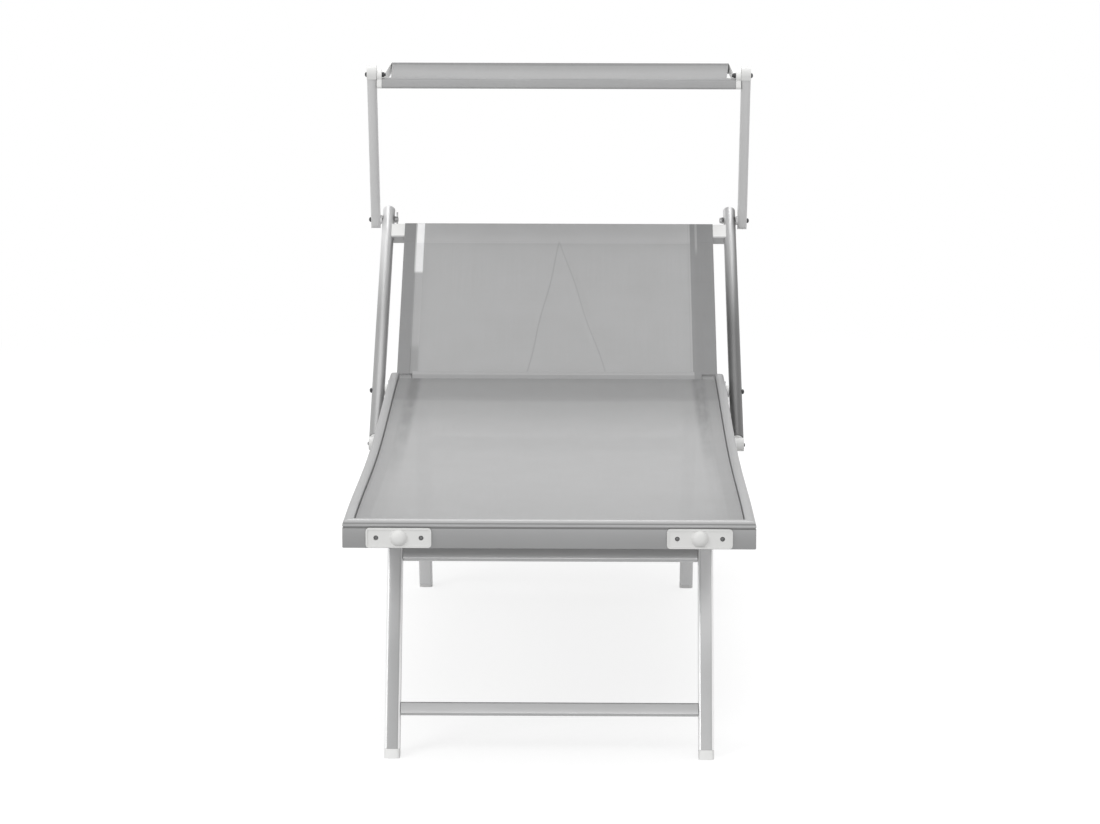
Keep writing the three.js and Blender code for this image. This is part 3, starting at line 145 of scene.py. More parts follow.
# Shader nodes
def new_material(name):
    """An empty node material and its tree."""
    mat = bpy.data.materials.new(name)
    mat.use_nodes = True
    tree = mat.node_tree
    tree.nodes.clear()
    return mat, tree


class Nodes:
    """Short ways to add shader nodes and their links to one tree."""

    def __init__(self, tree):
        self.tree = tree

    def add(self, kind, **props):
        node = self.tree.nodes.new(kind)
        for key, value in props.items():
            setattr(node, key, value)
        return node

    def link(self, source, target):
        self.tree.links.new(source, target)

    def put(self, socket, value):
        if isinstance(value, bpy.types.NodeSocket):
            self.link(value, socket)
        else:
            socket.default_value = value

    def math(self, operation, a, b=0.0):
        node = self.add("ShaderNodeMath", operation=operation)
        self.put(node.inputs[0], a)
        self.put(node.inputs[1], b)
        return node.outputs[0]

    def product(self, first, *others):
        for other in others:
            first = self.math("MULTIPLY", first, other)
        return first

    def total(self, first, *others):
        for other in others:
            first = self.math("ADD", first, other)
        return first

    def mix(self, factor, a, b):
        node = self.add("ShaderNodeMix", data_type="RGBA")
        self.put(node.inputs["Factor"], factor)
        self.put(node.inputs["A"], a)
        self.put(node.inputs["B"], b)
        return node.outputs["Result"]

    def noise(self, vector, scale, detail=3.0, roughness=0.55):
        node = self.add("ShaderNodeTexNoise")
        self.put(node.inputs["Vector"], vector)
        node.inputs["Scale"].default_value = scale
        node.inputs["Detail"].default_value = detail
        node.inputs["Roughness"].default_value = roughness
        return node.outputs["Fac"]

    def stretch(self, vector, scale):
        node = self.add("ShaderNodeMapping")
        self.link(vector, node.inputs["Vector"])
        node.inputs["Scale"].default_value = scale
        return node.outputs["Vector"]

    def split(self, vector):
        """A vector's X, Y and Z."""
        node = self.add("ShaderNodeSeparateXYZ")
        self.link(vector, node.inputs["Vector"])
        return node.outputs

    def solid(self, kind):
        """X, Y and Z of a place on the solid (Object) or of its outward direction (Normal)."""
        return self.split(self.add("ShaderNodeTexCoord").outputs[kind])

    def between(self, value, low, high, to_low=0.0, to_high=1.0, kind="SMOOTHSTEP"):
        node = self.add("ShaderNodeMapRange", interpolation_type=kind)
        self.put(node.inputs["Value"], value)
        node.inputs["From Min"].default_value = low
        node.inputs["From Max"].default_value = high
        node.inputs["To Min"].default_value = to_low
        node.inputs["To Max"].default_value = to_high
        return node.outputs["Result"]

    def band(self, value, low, high, soft):
        """One between low and high and nothing outside, with soft borders."""
        rise = self.between(value, low - soft, low + soft)
        fall = self.between(value, high - soft, high + soft, 1.0, 0.0)
        return self.math("MULTIPLY", rise, fall)

    def bump(self, height, distance, strength):
        node = self.add("ShaderNodeBump")
        node.inputs["Strength"].default_value = strength
        node.inputs["Distance"].default_value = distance
        self.link(height, node.inputs["Height"])
        return node.outputs["Normal"]

    def blend(self, factor, first, second):
        """Two shaders mixed."""
        node = self.add("ShaderNodeMixShader")
        self.put(node.inputs["Fac"], factor)
        self.link(first, node.inputs[1])
        self.link(second, node.inputs[2])
        return node.outputs["Shader"]

    def seen(self):
        """One for rays from the camera, in gloss or through glass, and nothing for other light."""
        rays = self.add("ShaderNodeLightPath").outputs
        direct = self.math("MAXIMUM", rays["Is Camera Ray"], rays["Is Glossy Ray"])
        return self.math("MAXIMUM", direct, rays["Is Transmission Ray"])

    def surface(self, shader):
        out = self.add("ShaderNodeOutputMaterial")
        self.link(shader, out.inputs["Surface"])


NEUTRAL = (0.0, 0.0, 0.0)
WARM = (0.0, 0.0, -0.01)
COOL = (0.0, 0.002, 0.005)
FAINT_COOL = (0.0, 0.001, 0.004)


def grey(value, tint=NEUTRAL):
    """A grey of a linear value, with a slight tint."""
    return (value + tint[0], value + tint[1], value + tint[2], 1.0)


# Metals: painted light and shade on them, by place or by the way the surface faces
def painted_light_ramp(kind, axis, start, end, share):
    """Painted light and shade: the tone turns to a share of itself from one place, or facing, to another."""
    def paint(n, tone, colour):
        return n.mix(n.between(n.solid(kind)[axis], start, end), colour, grey(tone * share))
    return paint


LINE_SOFT = 0.0004


def painted_level_lines(lines):
    """Painted shade and highlight in level lines along a bar: heights above its bottom, and their share of
    the tone.
    """
    def paint(n, tone, colour):
        height = n.solid("Object")["Z"]
        for bottom, top, share in lines:
            line = n.band(height, RAIL_BOTTOM + bottom, RAIL_BOTTOM + top, LINE_SOFT)
            colour = n.mix(line, colour, grey(tone * share))
        return colour
    return paint


# Painted highlights on rounded edges, and painted shade in a thin line beside them
RIM_RISE = (0.34, 0.46)
RIM_FALL = (0.97, 0.99)
RIM_HIGHLIGHT_TONE = 0.95
RIM_LINE = (0.14, 0.28)
RIM_LINE_SOFT = 0.05
RIM_LINE_SHARE = 0.25
RIM_SHADE_SHARE = 0.5


def painted_rim_highlights(n, tone, colour):
    """Painted highlights on the rounded edges of a square tube, each with a thin line of painted shade
    beside it.
    """
    side = n.math("ABSOLUTE", n.solid("Normal")["X"])
    rim = n.product(n.between(side, *RIM_RISE), n.between(side, *RIM_FALL, 1.0, 0.0))
    line = n.band(side, *RIM_LINE, RIM_LINE_SOFT)
    colour = n.mix(rim, colour, grey(RIM_HIGHLIGHT_TONE))
    return n.mix(n.product(line, RIM_LINE_SHARE), colour, grey(tone * RIM_SHADE_SHARE))


END_TONE = 0.88
END_FROM_X = 0.3122
END_SOFT = 0.0005
END_RISE = (0.4310, 0.4345)


def top_bar_ends(n):
    """One on the upper half of the top bar's ends, beyond the cloth."""
    at = n.solid("Object")
    beyond = n.between(n.math("ABSOLUTE", at["X"]), END_FROM_X, END_FROM_X + END_SOFT)
    height = n.product(n.math("SUBTRACT", at["Z"], HINGE.z), math.sin(BACK_ANGLE))
    length = n.product(n.math("SUBTRACT", at["Y"], HINGE.y), math.cos(BACK_ANGLE))
    return n.product(beyond, n.between(n.total(height, length), *END_RISE))


METAL_IOR = 1.45
LONG_GRAIN_SHARE = 0.02
METAL_CLOUDS = 9.0
METAL_CLOUD_SHARE = 0.05
STREAK_SHARE = 0.25
STREAK_RISE_SHARE = 1.06
METAL_GLOSS_DROP, METAL_GLOSS_RISE = 0.05, 0.06
METAL_RELIEF = 0.00004
METAL_BUMP = 0.35
BRUSH_DETAIL, BRUSH_ROUGHNESS = 4.0, 0.6
STREAK_RANGE = (0.3, 0.7)
GLOSS_RANGE = (0.25, 0.75)


def metal_material(name, tone, roughness, metallic, grain, axis, paints=(), white_ends=None):
    """Aluminium or steel with fine lines along one axis and slightly cloudy tone and gloss."""
    mat, tree = new_material(name)
    n = Nodes(tree)
    place = n.add("ShaderNodeTexCoord").outputs["Object"]
    lines = [grain, grain, grain]
    lines[axis] = grain * LONG_GRAIN_SHARE
    brushed = n.noise(n.stretch(place, lines), 1.0, BRUSH_DETAIL, BRUSH_ROUGHNESS)
    cloud = n.noise(place, METAL_CLOUDS)
    shader = n.add("ShaderNodeBsdfPrincipled")
    low, high = tone * (1 - METAL_CLOUD_SHARE), tone * (1 + METAL_CLOUD_SHARE)
    colour = n.mix(cloud, grey(low), grey(high, COOL))
    streaks = n.product(n.between(brushed, *STREAK_RANGE), STREAK_SHARE)
    colour = n.mix(streaks, colour, grey(high * STREAK_RISE_SHARE))
    for paint in paints:
        colour = paint(n, tone, colour)
    shader.inputs["Metallic"].default_value = metallic
    if white_ends:
        ends = white_ends(n)
        colour = n.mix(ends, colour, grey(END_TONE, WARM))
        n.put(shader.inputs["Metallic"], n.product(n.math("SUBTRACT", 1.0, ends), metallic))
    n.put(shader.inputs["Base Color"], colour)
    shine, dull = roughness - METAL_GLOSS_DROP, roughness + METAL_GLOSS_RISE
    n.put(shader.inputs["Roughness"], n.between(brushed, *GLOSS_RANGE, shine, dull))
    shader.inputs["IOR"].default_value = METAL_IOR
    n.put(shader.inputs["Normal"], n.bump(brushed, METAL_RELIEF, METAL_BUMP))
    n.surface(shader.outputs["BSDF"])
    return mat


NYLON_IOR = 1.5
NYLON_CLOUDS = 35.0
NYLON_PITS = 900.0
NYLON_GLOSS_DROP, NYLON_GLOSS_RISE = 0.04, 0.05
NYLON_RELIEF = 0.00005
NYLON_BUMP = 0.3
NYLON_DETAIL = 2.0
NYLON_RANGE = (0.3, 0.7)


def plastic_material(name, tone, roughness, cloud_share=0.03, tint=WARM):
    """Moulded nylon or paint: faint clouds, fine pits and a soft gloss."""
    mat, tree = new_material(name)
    n = Nodes(tree)
    place = n.add("ShaderNodeTexCoord").outputs["Object"]
    cloud = n.noise(place, NYLON_CLOUDS, NYLON_DETAIL)
    pits = n.noise(place, NYLON_PITS, NYLON_DETAIL)
    shader = n.add("ShaderNodeBsdfPrincipled")
    low, high = tone * (1 - cloud_share), tone * (1 + cloud_share)
    n.put(shader.inputs["Base Color"], n.mix(cloud, grey(low, tint), grey(high, tint)))
    shine, dull = roughness - NYLON_GLOSS_DROP, roughness + NYLON_GLOSS_RISE
    n.put(shader.inputs["Roughness"], n.between(cloud, *NYLON_RANGE, shine, dull))
    shader.inputs["IOR"].default_value = NYLON_IOR
    n.put(shader.inputs["Normal"], n.bump(pits, NYLON_RELIEF, NYLON_BUMP))
    n.surface(shader.outputs["BSDF"])
    return mat


WEAVE_PITCH = 0.0011
YARN_LINES, YARN_RUN, YARN_DETAIL = 900.0, 5.0, 2.0
CLOTH_CLOUDS, CLOTH_DETAIL = 14.0, 4.0
CLOTH_RANGE = (0.35, 0.65)
YARN_SHARE = 0.7
CLOTH_TONE_SHARES = (0.97, 1.03)
THREAD_SHARES = (0.90, 1.06)
CLOTH_IOR = 1.4
CLOTH_GLOSS = 0.62
CLOTH_SHEEN, CLOTH_SHEEN_GLOSS = 0.15, 0.4
CLOTH_RELIEF, CLOTH_BUMP = 0.00012, 0.5
GAP_RISE = (0.30, 0.62)
GAP_GAIN = 5.5
MESH_GLOW = 0.16
HEM_GLOW = 0.08


def mesh_cloth_material(name, tone, holes, glow=MESH_GLOW, field=None):
    """Coated yarn in a plain weave: crossed threads, small open gaps and light through them."""
    mat, tree = new_material(name)
    n = Nodes(tree)
    uv = n.add("ShaderNodeUVMap", uv_map="cloth").outputs["UV"]
    at = n.split(uv)
    turn = 2 * math.pi / WEAVE_PITCH
    across, along = n.product(at["X"], turn), n.product(at["Y"], turn)
    gap_x = n.math("MAXIMUM", n.math("COSINE", across), 0.0)
    gap_y = n.math("MAXIMUM", n.math("COSINE", along), 0.0)
    gap = n.product(gap_x, gap_y)
    over = n.product(n.math("SINE", n.product(across, 0.5)), n.math("SINE", n.product(along, 0.5)))
    warp = n.noise(n.stretch(uv, (YARN_LINES, YARN_RUN, 1.0)), 1.0, YARN_DETAIL)
    weft = n.noise(n.stretch(uv, (YARN_RUN, YARN_LINES, 1.0)), 1.0, YARN_DETAIL)
    mottle = n.noise(uv, CLOTH_CLOUDS, CLOTH_DETAIL)
    yarn = n.total(n.product(warp, 0.5), n.product(weft, 0.5))
    shade = n.total(n.product(yarn, YARN_SHARE), n.product(mottle, 1 - YARN_SHARE))
    dark, pale = (tone * share for share in CLOTH_TONE_SHARES)
    base = n.mix(n.between(shade, *CLOTH_RANGE), grey(dark), grey(pale, FAINT_COOL))
    relief = n.between(over, -1.0, 1.0, *THREAD_SHARES)
    if field:
        relief = n.product(relief, field(n, at["X"], at["Y"]))
    spread = n.add("ShaderNodeCombineColor")
    for socket in ("Red", "Green", "Blue"):
        n.put(spread.inputs[socket], relief)
    colour = n.add("ShaderNodeMix", data_type="RGBA", blend_type="MULTIPLY")
    colour.inputs["Factor"].default_value = 1.0
    n.put(colour.inputs["A"], base)
    n.put(colour.inputs["B"], spread.outputs["Color"])
    shader = n.add("ShaderNodeBsdfPrincipled")
    n.put(shader.inputs["Base Color"], colour.outputs["Result"])
    shader.inputs["Roughness"].default_value = CLOTH_GLOSS
    shader.inputs["IOR"].default_value = CLOTH_IOR
    shader.inputs["Sheen Weight"].default_value = CLOTH_SHEEN
    shader.inputs["Sheen Roughness"].default_value = CLOTH_SHEEN_GLOSS
    n.put(shader.inputs["Normal"], n.bump(n.math("SUBTRACT", over, gap), CLOTH_RELIEF, CLOTH_BUMP))
    through = n.add("ShaderNodeBsdfTranslucent")
    n.put(through.inputs["Color"], colour.outputs["Result"])
    body = n.blend(glow, shader.outputs["BSDF"], through.outputs["BSDF"])
    open_share = n.between(gap, *GAP_RISE, 0.0, min(1.0, holes * GAP_GAIN))
    clear = n.add("ShaderNodeBsdfTransparent")
    n.surface(n.blend(open_share, body, clear.outputs["BSDF"]))
    return mat


# What the cloths show along their length: places in metres from each cloth's start, and shares of tone
STITCH_PITCH = 0.0036
STITCH_HALF = 0.0005
STITCH_SOFT = 0.0003
STITCH_SHARE = 0.20
STITCH_RANGE = (-0.5, 0.1)


def stitch(n, across, along, at):
    """A row of short stitches at one place across the cloth: the share by which they darken it."""
    row = n.band(across, at - STITCH_HALF, at + STITCH_HALF, STITCH_SOFT)
    turns = n.math("COSINE", n.product(along, 2 * math.pi / STITCH_PITCH))
    return n.product(row, n.between(turns, *STITCH_RANGE, 0.0, STITCH_SHARE))


# Painted shade darkens the seat towards the head end and towards the foot, and in a streak inside each rail;
# a crisp darker step lies near the head end
SEAT_REAR, SEAT_REAR_SHARES = (0.86, 1.18), (1.0, 0.70)
SEAT_FRONT, SEAT_FRONT_SHARES = (0.02, 0.55), (0.925, 1.0)
SEAT_HEAD_STEP, SEAT_HEAD_STEP_SHARES = (1.135, 1.162), (1.0, 0.91)
SEAT_SEAM = 1.166
STREAK_BAND, STREAK_SOFT = (0.262, 0.284), 0.006
STREAK_GROWTH, STREAK_SHARES = (0.3, 1.25), (0.03, 0.36)
STREAK_ACROSS, STREAK_ALONG = 60.0, 9.0
STREAK_PATCH, STREAK_PATCH_SHARES = (0.35, 0.6), (0.55, 1.0)
LEDGE_EDGE, LEDGE_SHARES = (0.282, 0.285), (1.0, 0.94)


def seat_field(n, x, y):
    """Painted shade darkening the seat towards the head end and the foot, and in a streak inside each rail,
    with a crisp darker step near the head end, slightly darker sides beyond the ledge edge and a row of
    stitches.
    """
    side = n.math("ABSOLUTE", x)
    rear = n.between(y, *SEAT_REAR, *SEAT_REAR_SHARES, "LINEAR")
    front = n.between(y, *SEAT_FRONT, *SEAT_FRONT_SHARES)
    head_step = n.between(y, *SEAT_HEAD_STEP, *SEAT_HEAD_STEP_SHARES)
    spread = n.add("ShaderNodeCombineXYZ")
    n.put(spread.inputs["X"], n.product(x, STREAK_ACROSS))
    n.put(spread.inputs["Y"], n.product(y, STREAK_ALONG))
    cloud = n.noise(spread.outputs["Vector"], 1.0)
    patch = n.between(cloud, *STREAK_PATCH, *STREAK_PATCH_SHARES)
    depth = n.product(n.between(y, *STREAK_GROWTH, *STREAK_SHARES), patch)
    streak = n.product(n.band(side, *STREAK_BAND, STREAK_SOFT), depth)
    ledge = n.between(side, *LEDGE_EDGE, *LEDGE_SHARES)
    marks = n.total(streak, stitch(n, y, x, SEAT_SEAM))
    return n.product(rear, head_step, ledge, front, n.math("SUBTRACT", 1.0, marks))


# Painted shade along the backrest's two creases: the share of tone each takes away
CREASE_SHADE_SHARES = (0.17, 0.13)
CREASE_SWAY, CREASE_TURNS = 0.0014, 30.0
CREASE_EDGE = (0.0004, 0.0022)
CREASE_END = (0.370, 0.385)
CREASE_START = -0.002


def crease(n, x, y, foot, share):
    """Painted shade along a thin fold line from near the top's middle to a place along the foot: what it
    takes away.
    """
    line = n.between(y, CREASE_START, CREASE_LENGTH, foot, CREASE_TOP, "LINEAR")
    line = n.total(line, n.product(n.math("SINE", n.product(y, CREASE_TURNS)), CREASE_SWAY))
    away = n.math("ABSOLUTE", n.math("SUBTRACT", x, line))
    near = n.between(away, *CREASE_EDGE, 1.0, 0.0)
    return n.product(near, n.between(y, *CREASE_END, 1.0, 0.0), -share)


# Painted highlights of the side tubes seen through the backrest cloth: the left one bright near the top,
# paler below and darker at the foot, the right one a thin bright line near the top; painted light makes the
# panel paler towards the top
LEFT_TUBE_HIGHLIGHT, LEFT_SOFT = (-0.289, -0.272), 0.0012
LEFT_BRIGHT, LEFT_BRIGHT_SHARE = (0.283, 0.293), 1.18
LEFT_DULL, LEFT_DULL_SHARES = (0.06, 0.09), (-0.10, 0.14)
RIGHT_TUBE_HIGHLIGHT, RIGHT_SOFT = (0.2755, 0.2800), 0.0008
RIGHT_BRIGHT, RIGHT_BRIGHT_SHARE = (0.33, 0.37), 0.45
BACK_LIGHT_RISE, BACK_LIGHT_RISE_SHARES = (0.02, 0.43), (-0.02, 0.12)
BACK_SIDE_SEAMS = (-0.2845, 0.2615)


def back_field(n, x, y):
    """Painted highlights of the side tubes seen through the cloth, stitched seams, painted shade along two
    creases and painted light on a paler top.
    """
    bright = n.between(y, *LEFT_BRIGHT, 0.0, LEFT_BRIGHT_SHARE)
    dull = n.between(y, *LEFT_DULL, *LEFT_DULL_SHARES)
    left = n.product(n.band(x, *LEFT_TUBE_HIGHLIGHT, LEFT_SOFT), n.total(bright, dull))
    shine = n.between(y, *RIGHT_BRIGHT, 0.0, RIGHT_BRIGHT_SHARE)
    right = n.product(n.band(x, *RIGHT_TUBE_HIGHLIGHT, RIGHT_SOFT), shine)
    rise = n.between(y, *BACK_LIGHT_RISE, *BACK_LIGHT_RISE_SHARES)
    seams = n.total(*(stitch(n, x, y, at) for at in BACK_SIDE_SEAMS), stitch(n, y, x, BACK_SEAM))
    folds = n.total(*(crease(n, x, y, *fold) for fold in zip(CREASE_FEET, CREASE_SHADE_SHARES)))
    return n.math("SUBTRACT", n.total(1.0, left, right, rise, folds), seams)


# Painted light brightens the canopy's front hem; painted shade darkens a fold at the hem's top edge and the
# top towards the rear
CANOPY_HEM_LIGHT_SHARE = 1.49
CANOPY_REAR, CANOPY_REAR_SHARE = (0.327, 0.330), 0.74
CANOPY_SHADE_RUN, CANOPY_SHADE_SHARE = (0.16, 0.33), 0.80
FOLD_WIDTH, FOLD_SHADE_SHARE = 0.006, 0.22
CANOPY_SOFT = 0.001
CANOPY_SEAMS = (HEM_RUN + 0.022, HEM_RUN + 0.332)


def canopy_field(n, x, y):
    """The canopy's front hem made lighter by painted light, painted shade in a fold at its top edge and
    towards the rear of the top, stitched seams and the doubled rear band.
    """
    top = n.math("SUBTRACT", y, HEM_RUN)
    front = n.between(top, -CANOPY_SOFT, CANOPY_SOFT, CANOPY_HEM_LIGHT_SHARE, 1.0)
    rear = n.between(top, *CANOPY_REAR, 1.0, CANOPY_REAR_SHARE)
    rear_shade = n.between(top, *CANOPY_SHADE_RUN, 1.0, CANOPY_SHADE_SHARE)
    fold = n.product(n.band(top, -FOLD_WIDTH, 0.0, CANOPY_SOFT), FOLD_SHADE_SHARE)
    seams = n.total(*(stitch(n, y, x, at) for at in CANOPY_SEAMS))
    left_by_fold, left_by_seams = n.math("SUBTRACT", 1.0, fold), n.math("SUBTRACT", 1.0, seams)
    return n.product(front, rear, rear_shade, left_by_fold, left_by_seams)


# Cloths: name, tone, share of open gaps
MESH = mesh_cloth_material("mesh_cloth", 0.43, 0.035)
HEM = mesh_cloth_material("hem_cloth", 0.42, 0.01, HEM_GLOW)
SEAT_MESH = mesh_cloth_material("seat_mesh", 0.435, 0.035, field=seat_field)
BACK_MESH = mesh_cloth_material("back_mesh", 0.405, 0.035, field=back_field)
# Painted light and shade in some tones: the backrest's top hem lighter, its foot darker, and the canopy
# darker against the stronger light on it
BACK_HEM = mesh_cloth_material("back_hem", 0.45, 0.01, HEM_GLOW, back_field)
BACK_FOOT = mesh_cloth_material("back_foot", 0.33, 0.01, HEM_GLOW)
BACK_SIDE = mesh_cloth_material("back_side_mesh", 0.272, 0.01, HEM_GLOW, back_field)
CANOPY_MESH = mesh_cloth_material("canopy_mesh", 0.345, 0.02, field=canopy_field)

# The foot bar's painted shade in its groove and in a line below its lip, and a painted highlight along the
# lip's top
FOOT_SHADE_AND_HIGHLIGHT_LINES = ((0.0319, 0.0351, 0.62), (0.0392, 0.0404, 0.75), (0.0410, 0.0630, 1.40))
# Front legs: painted light makes the metal paler towards the top, against the shade under the bed, and
# painted highlights run along the rounded edges
LEFT_LEG_PAINTS = (painted_light_ramp("Object", "Z", 0.14, 0.34, 1.85), painted_rim_highlights)
RIGHT_LEG_PAINTS = (painted_light_ramp("Object", "Z", 0.12, 0.32, 1.88), painted_rim_highlights)
# Arms: painted shade makes the metal darker towards the bottom and on the side facing +X, away from the key
# lamp, the right arm more so
LEFT_ARM_PAINTS = (painted_light_ramp("Object", "Z", 0.68, 0.48, 0.42), painted_light_ramp("Normal", "X", 0.45, 0.95, 0.40))
RIGHT_ARM_PAINTS = (painted_light_ramp("Object", "Z", 0.70, 0.46, 0.17), painted_light_ramp("Normal", "X", 0.15, 0.90, 0.22))
FINE, FINER, FINEST = 700.0, 900.0, 1200.0

# Metals: name, tone, roughness, metallic, grain and the axis that it runs along
# Some tones are painted light and shade on one aluminium: the foot bar darker, the rear legs lighter against
# the shade under the bed, and left and right legs and arms toned apart to the light on each side
SATIN = metal_material("anodised_metal", 0.38, 0.42, 0.6, FINE, Y)
SATIN_ACROSS = metal_material("anodised_metal_across", 0.34, 0.42, 0.6, FINE, X)
TOP_BAR_METAL = metal_material("top_bar_metal", 0.38, 0.42, 0.6, FINE, X, white_ends=top_bar_ends)
FOOT_METAL = metal_material("foot_bar_metal", 0.275, 0.42, 0.6, FINE, X, (painted_level_lines(FOOT_SHADE_AND_HIGHLIGHT_LINES),))
CROSS = metal_material("cross_tube_metal", 0.45, 0.40, 0.6, FINE, X)
LEFT_LEG = metal_material("leg_metal_left", 0.41, 0.34, 0.45, FINE, Z, LEFT_LEG_PAINTS)
RIGHT_LEG = metal_material("leg_metal_right", 0.50, 0.34, 0.45, FINE, Z, RIGHT_LEG_PAINTS)
REAR_LEG = metal_material("rear_leg_metal", 0.66, 0.34, 0.35, FINE, Z)
LEFT_ARM = metal_material("bright_metal", 0.84, 0.40, 0.5, FINER, Z, LEFT_ARM_PAINTS)
RIGHT_ARM = metal_material("bright_metal_right", 0.80, 0.42, 0.5, FINER, Z, RIGHT_ARM_PAINTS)
STEEL = metal_material("plated_steel", 0.35, 0.33, 0.9, FINEST, Z)
DARK_STEEL = metal_material("dark_fastener", 0.06, 0.35, 0.8, FINEST, Z)
SCREW = metal_material("bumper_screw", 0.15, 0.4, 0.6, FINEST, Z)
NYLON = plastic_material("white_nylon", 0.87, 0.5)
BUMPER = plastic_material("bumper_nylon", 0.72, 0.5)
# The post caps' nylon is toned darker than the rest as painted shade, so that the overhead lamp doesn't turn
# it white
CAP_NYLON = plastic_material("cap_nylon", 0.76, 0.5)
PAINT = plastic_material("painted_tube", 0.655, 0.35, 0.02, NEUTRAL)

# The finish of each solid whose name starts so; the first that fits is used
FINISHES = (
    ("foot_crossbar", FOOT_METAL), ("side_rail", SATIN), ("seat_rear_bar", SATIN_ACROSS),
    ("rail_end_plug", NYLON), ("bumper_plate", BUMPER), ("quadrant_plate", STEEL),
    ("hinge_bush", NYLON), ("pivot_tube", SATIN_ACROSS), ("pivot_bolt", DARK_STEEL),
    ("front_upper_cross_tube", CROSS), ("rear_upper_cross_tube", CROSS),
    ("front_lower_cross_tube", CROSS), ("rear_lower_cross_tube", CROSS),
    ("front_leg_bolt", STEEL), ("rear_leg_bolt", STEEL),
    ("front_leg_left", LEFT_LEG), ("front_leg_right", RIGHT_LEG), ("rear_leg", REAR_LEG),
    ("front_foot_cap", NYLON), ("rear_foot_cap", NYLON),
    ("front_hinge_block", NYLON), ("rear_hinge_block", NYLON),
    ("back_top_bar", TOP_BAR_METAL), ("back_side_tube", SATIN),
    ("arm_eye", NYLON), ("arm_left", LEFT_ARM), ("arm_right", RIGHT_ARM),
    ("post_bolt", DARK_STEEL), ("wing_nut", STEEL), ("post_cap", CAP_NYLON),
    ("canopy_post", PAINT), ("canopy_bolt", DARK_STEEL), ("canopy_side_bar", NYLON),
    ("canopy_front_bar", SATIN_ACROSS), ("canopy_rear_bar", SATIN_ACROSS),
)
LOADED_SHADING = ("custom_normal", "sharp_face", "sharp_edge")
WELD_REACH = 0.00002
SHARP_ANGLE = math.radians(32)


def dress(name, obj):
    """A finish and rounded shading for a solid of the frame."""
    finish = next(mat for start, mat in FINISHES if name.startswith(start))
    obj.data.materials.clear()
    obj.data.materials.append(finish)
    for kept in LOADED_SHADING:
        attribute = obj.data.attributes.get(kept)
        if attribute:
            obj.data.attributes.remove(attribute)
    obj.data.polygons.foreach_set("use_smooth", [True] * len(obj.data.polygons))
    weld = obj.modifiers.new("weld", "WELD")
    weld.merge_threshold = WELD_REACH
    split = obj.modifiers.new("shading", "EDGE_SPLIT")
    split.split_angle = SHARP_ANGLE


def dress_plate_screws(plate, sign):
    """The faces of a bumper plate that lie inside its two screws take the screws' metal."""
    plate.data.materials.append(SCREW)
    for face in plate.data.polygons:
        centre = plate.matrix_world @ face.center
        for across in (-SCREW_X, SCREW_X):
            away = math.hypot(centre.x - sign * PLATE_X - across, centre.z - PLATE_Z)
            if away < SCREW_R:
                face.material_index = 1


for node_name, node in nodes.items():
    if not node_name.endswith("fabric"):
        dress(node_name, node)
for side, sign in SIDES:
    dress_plate_screws(nodes["bumper_plate_" + side], sign)


# Meshes
def make_object(name, verts, faces, mats, body=None, uvs=None, smooth=True):
    """A mesh that rides on a body of the frame, with its cloth coordinates if it has any."""
    mesh = bpy.data.meshes.new(name)
    mesh.from_pydata([tuple(v) for v in verts], [], faces)
    if uvs is not None:
        layer = mesh.uv_layers.new(name="cloth")
        for loop in mesh.loops:
            layer.data[loop.index].uv = uvs[loop.vertex_index]
    mesh.polygons.foreach_set("use_smooth", [smooth] * len(mesh.polygons))
    for mat in mats:
        mesh.materials.append(mat)
    mesh.update()
    obj = bpy.data.objects.new(name, mesh)
    bpy.context.collection.objects.link(obj)
    if body:
        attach(obj, body)
    return obj


def grid_faces(rows, cols):
    """The cells of a grid whose points are listed row by row."""
    corners = [i * (cols + 1) + j for i in range(rows) for j in range(cols)]
    return [(a, a + 1, a + cols + 2, a + cols + 1) for a in corners]


def arc(cx, cy, r, start, end, steps):
    """Points on an arc, angles in degrees."""
    angles = [math.radians(start + (end - start) * i / steps) for i in range(steps + 1)]
    return [(cx + r * math.cos(angle), cy + r * math.sin(angle)) for angle in angles]


def straight(start, end, steps):
    """Points on a straight line."""
    return [(start[0] + (end[0] - start[0]) * i / steps, start[1] + (end[1] - start[1]) * i / steps)
            for i in range(steps + 1)]


def path_sheet(name, path, half, cols, body, place, mats, hem_from=math.inf, bow=None):
    """A cloth swept straight across from a path of (along, out) points, hemmed from a length on."""
    points = [Vector(p) for p in path]
    gone = [0.0]
    for first, second in zip(points, points[1:]):
        gone.append(gone[-1] + (second - first).length)
    verts, uvs = [], []
    for point, length in zip(points, gone):
        reach = half(point.x, point.y)
        for j in range(cols + 1):
            x = reach * (2 * j / cols - 1)
            out = point.y + (bow(x, point.x, point.y) if bow else 0.0)
            verts.append(place(x, point.x, out))
            uvs.append((x, length))
    obj = make_object(name, verts, grid_faces(len(points) - 1, cols), mats, body, uvs)
    for i, (before, after) in enumerate(zip(gone, gone[1:])):
        if (before + after) / 2 >= hem_from:
            for face in obj.data.polygons[i * cols:(i + 1) * cols]:
                face.material_index = 1
    return obj, gone[-1]


def paint_columns(obj, half, cols, low, high, slot):
    """The faces of a swept cloth whose columns lie outside low to high take another material."""
    for k, face in enumerate(obj.data.polygons):
        x = half * (2 * (k % cols + 0.5) / cols - 1)
        if not low < x < high:
            face.material_index = slot


def on_back(x, along, out):
    """A point in the backrest's own frame, turned to its rest slope."""
    c, s = math.cos(BACK_ANGLE), math.sin(BACK_ANGLE)
    return Vector((x, HINGE.y + along * c - out * s, HINGE.z + along * s + out * c))


# The seat cloth, with a sleeve round the rear bar
SEAT_INSET = 0.0215
SEAT_FROM = FOOT_Y + SEAT_INSET
SEAT_ROWS, SEAT_COLS = 90, 40
FRONT_WAVE, FRONT_WAVE_RUN, FRONT_WAVES = 0.0011, 0.03, 3


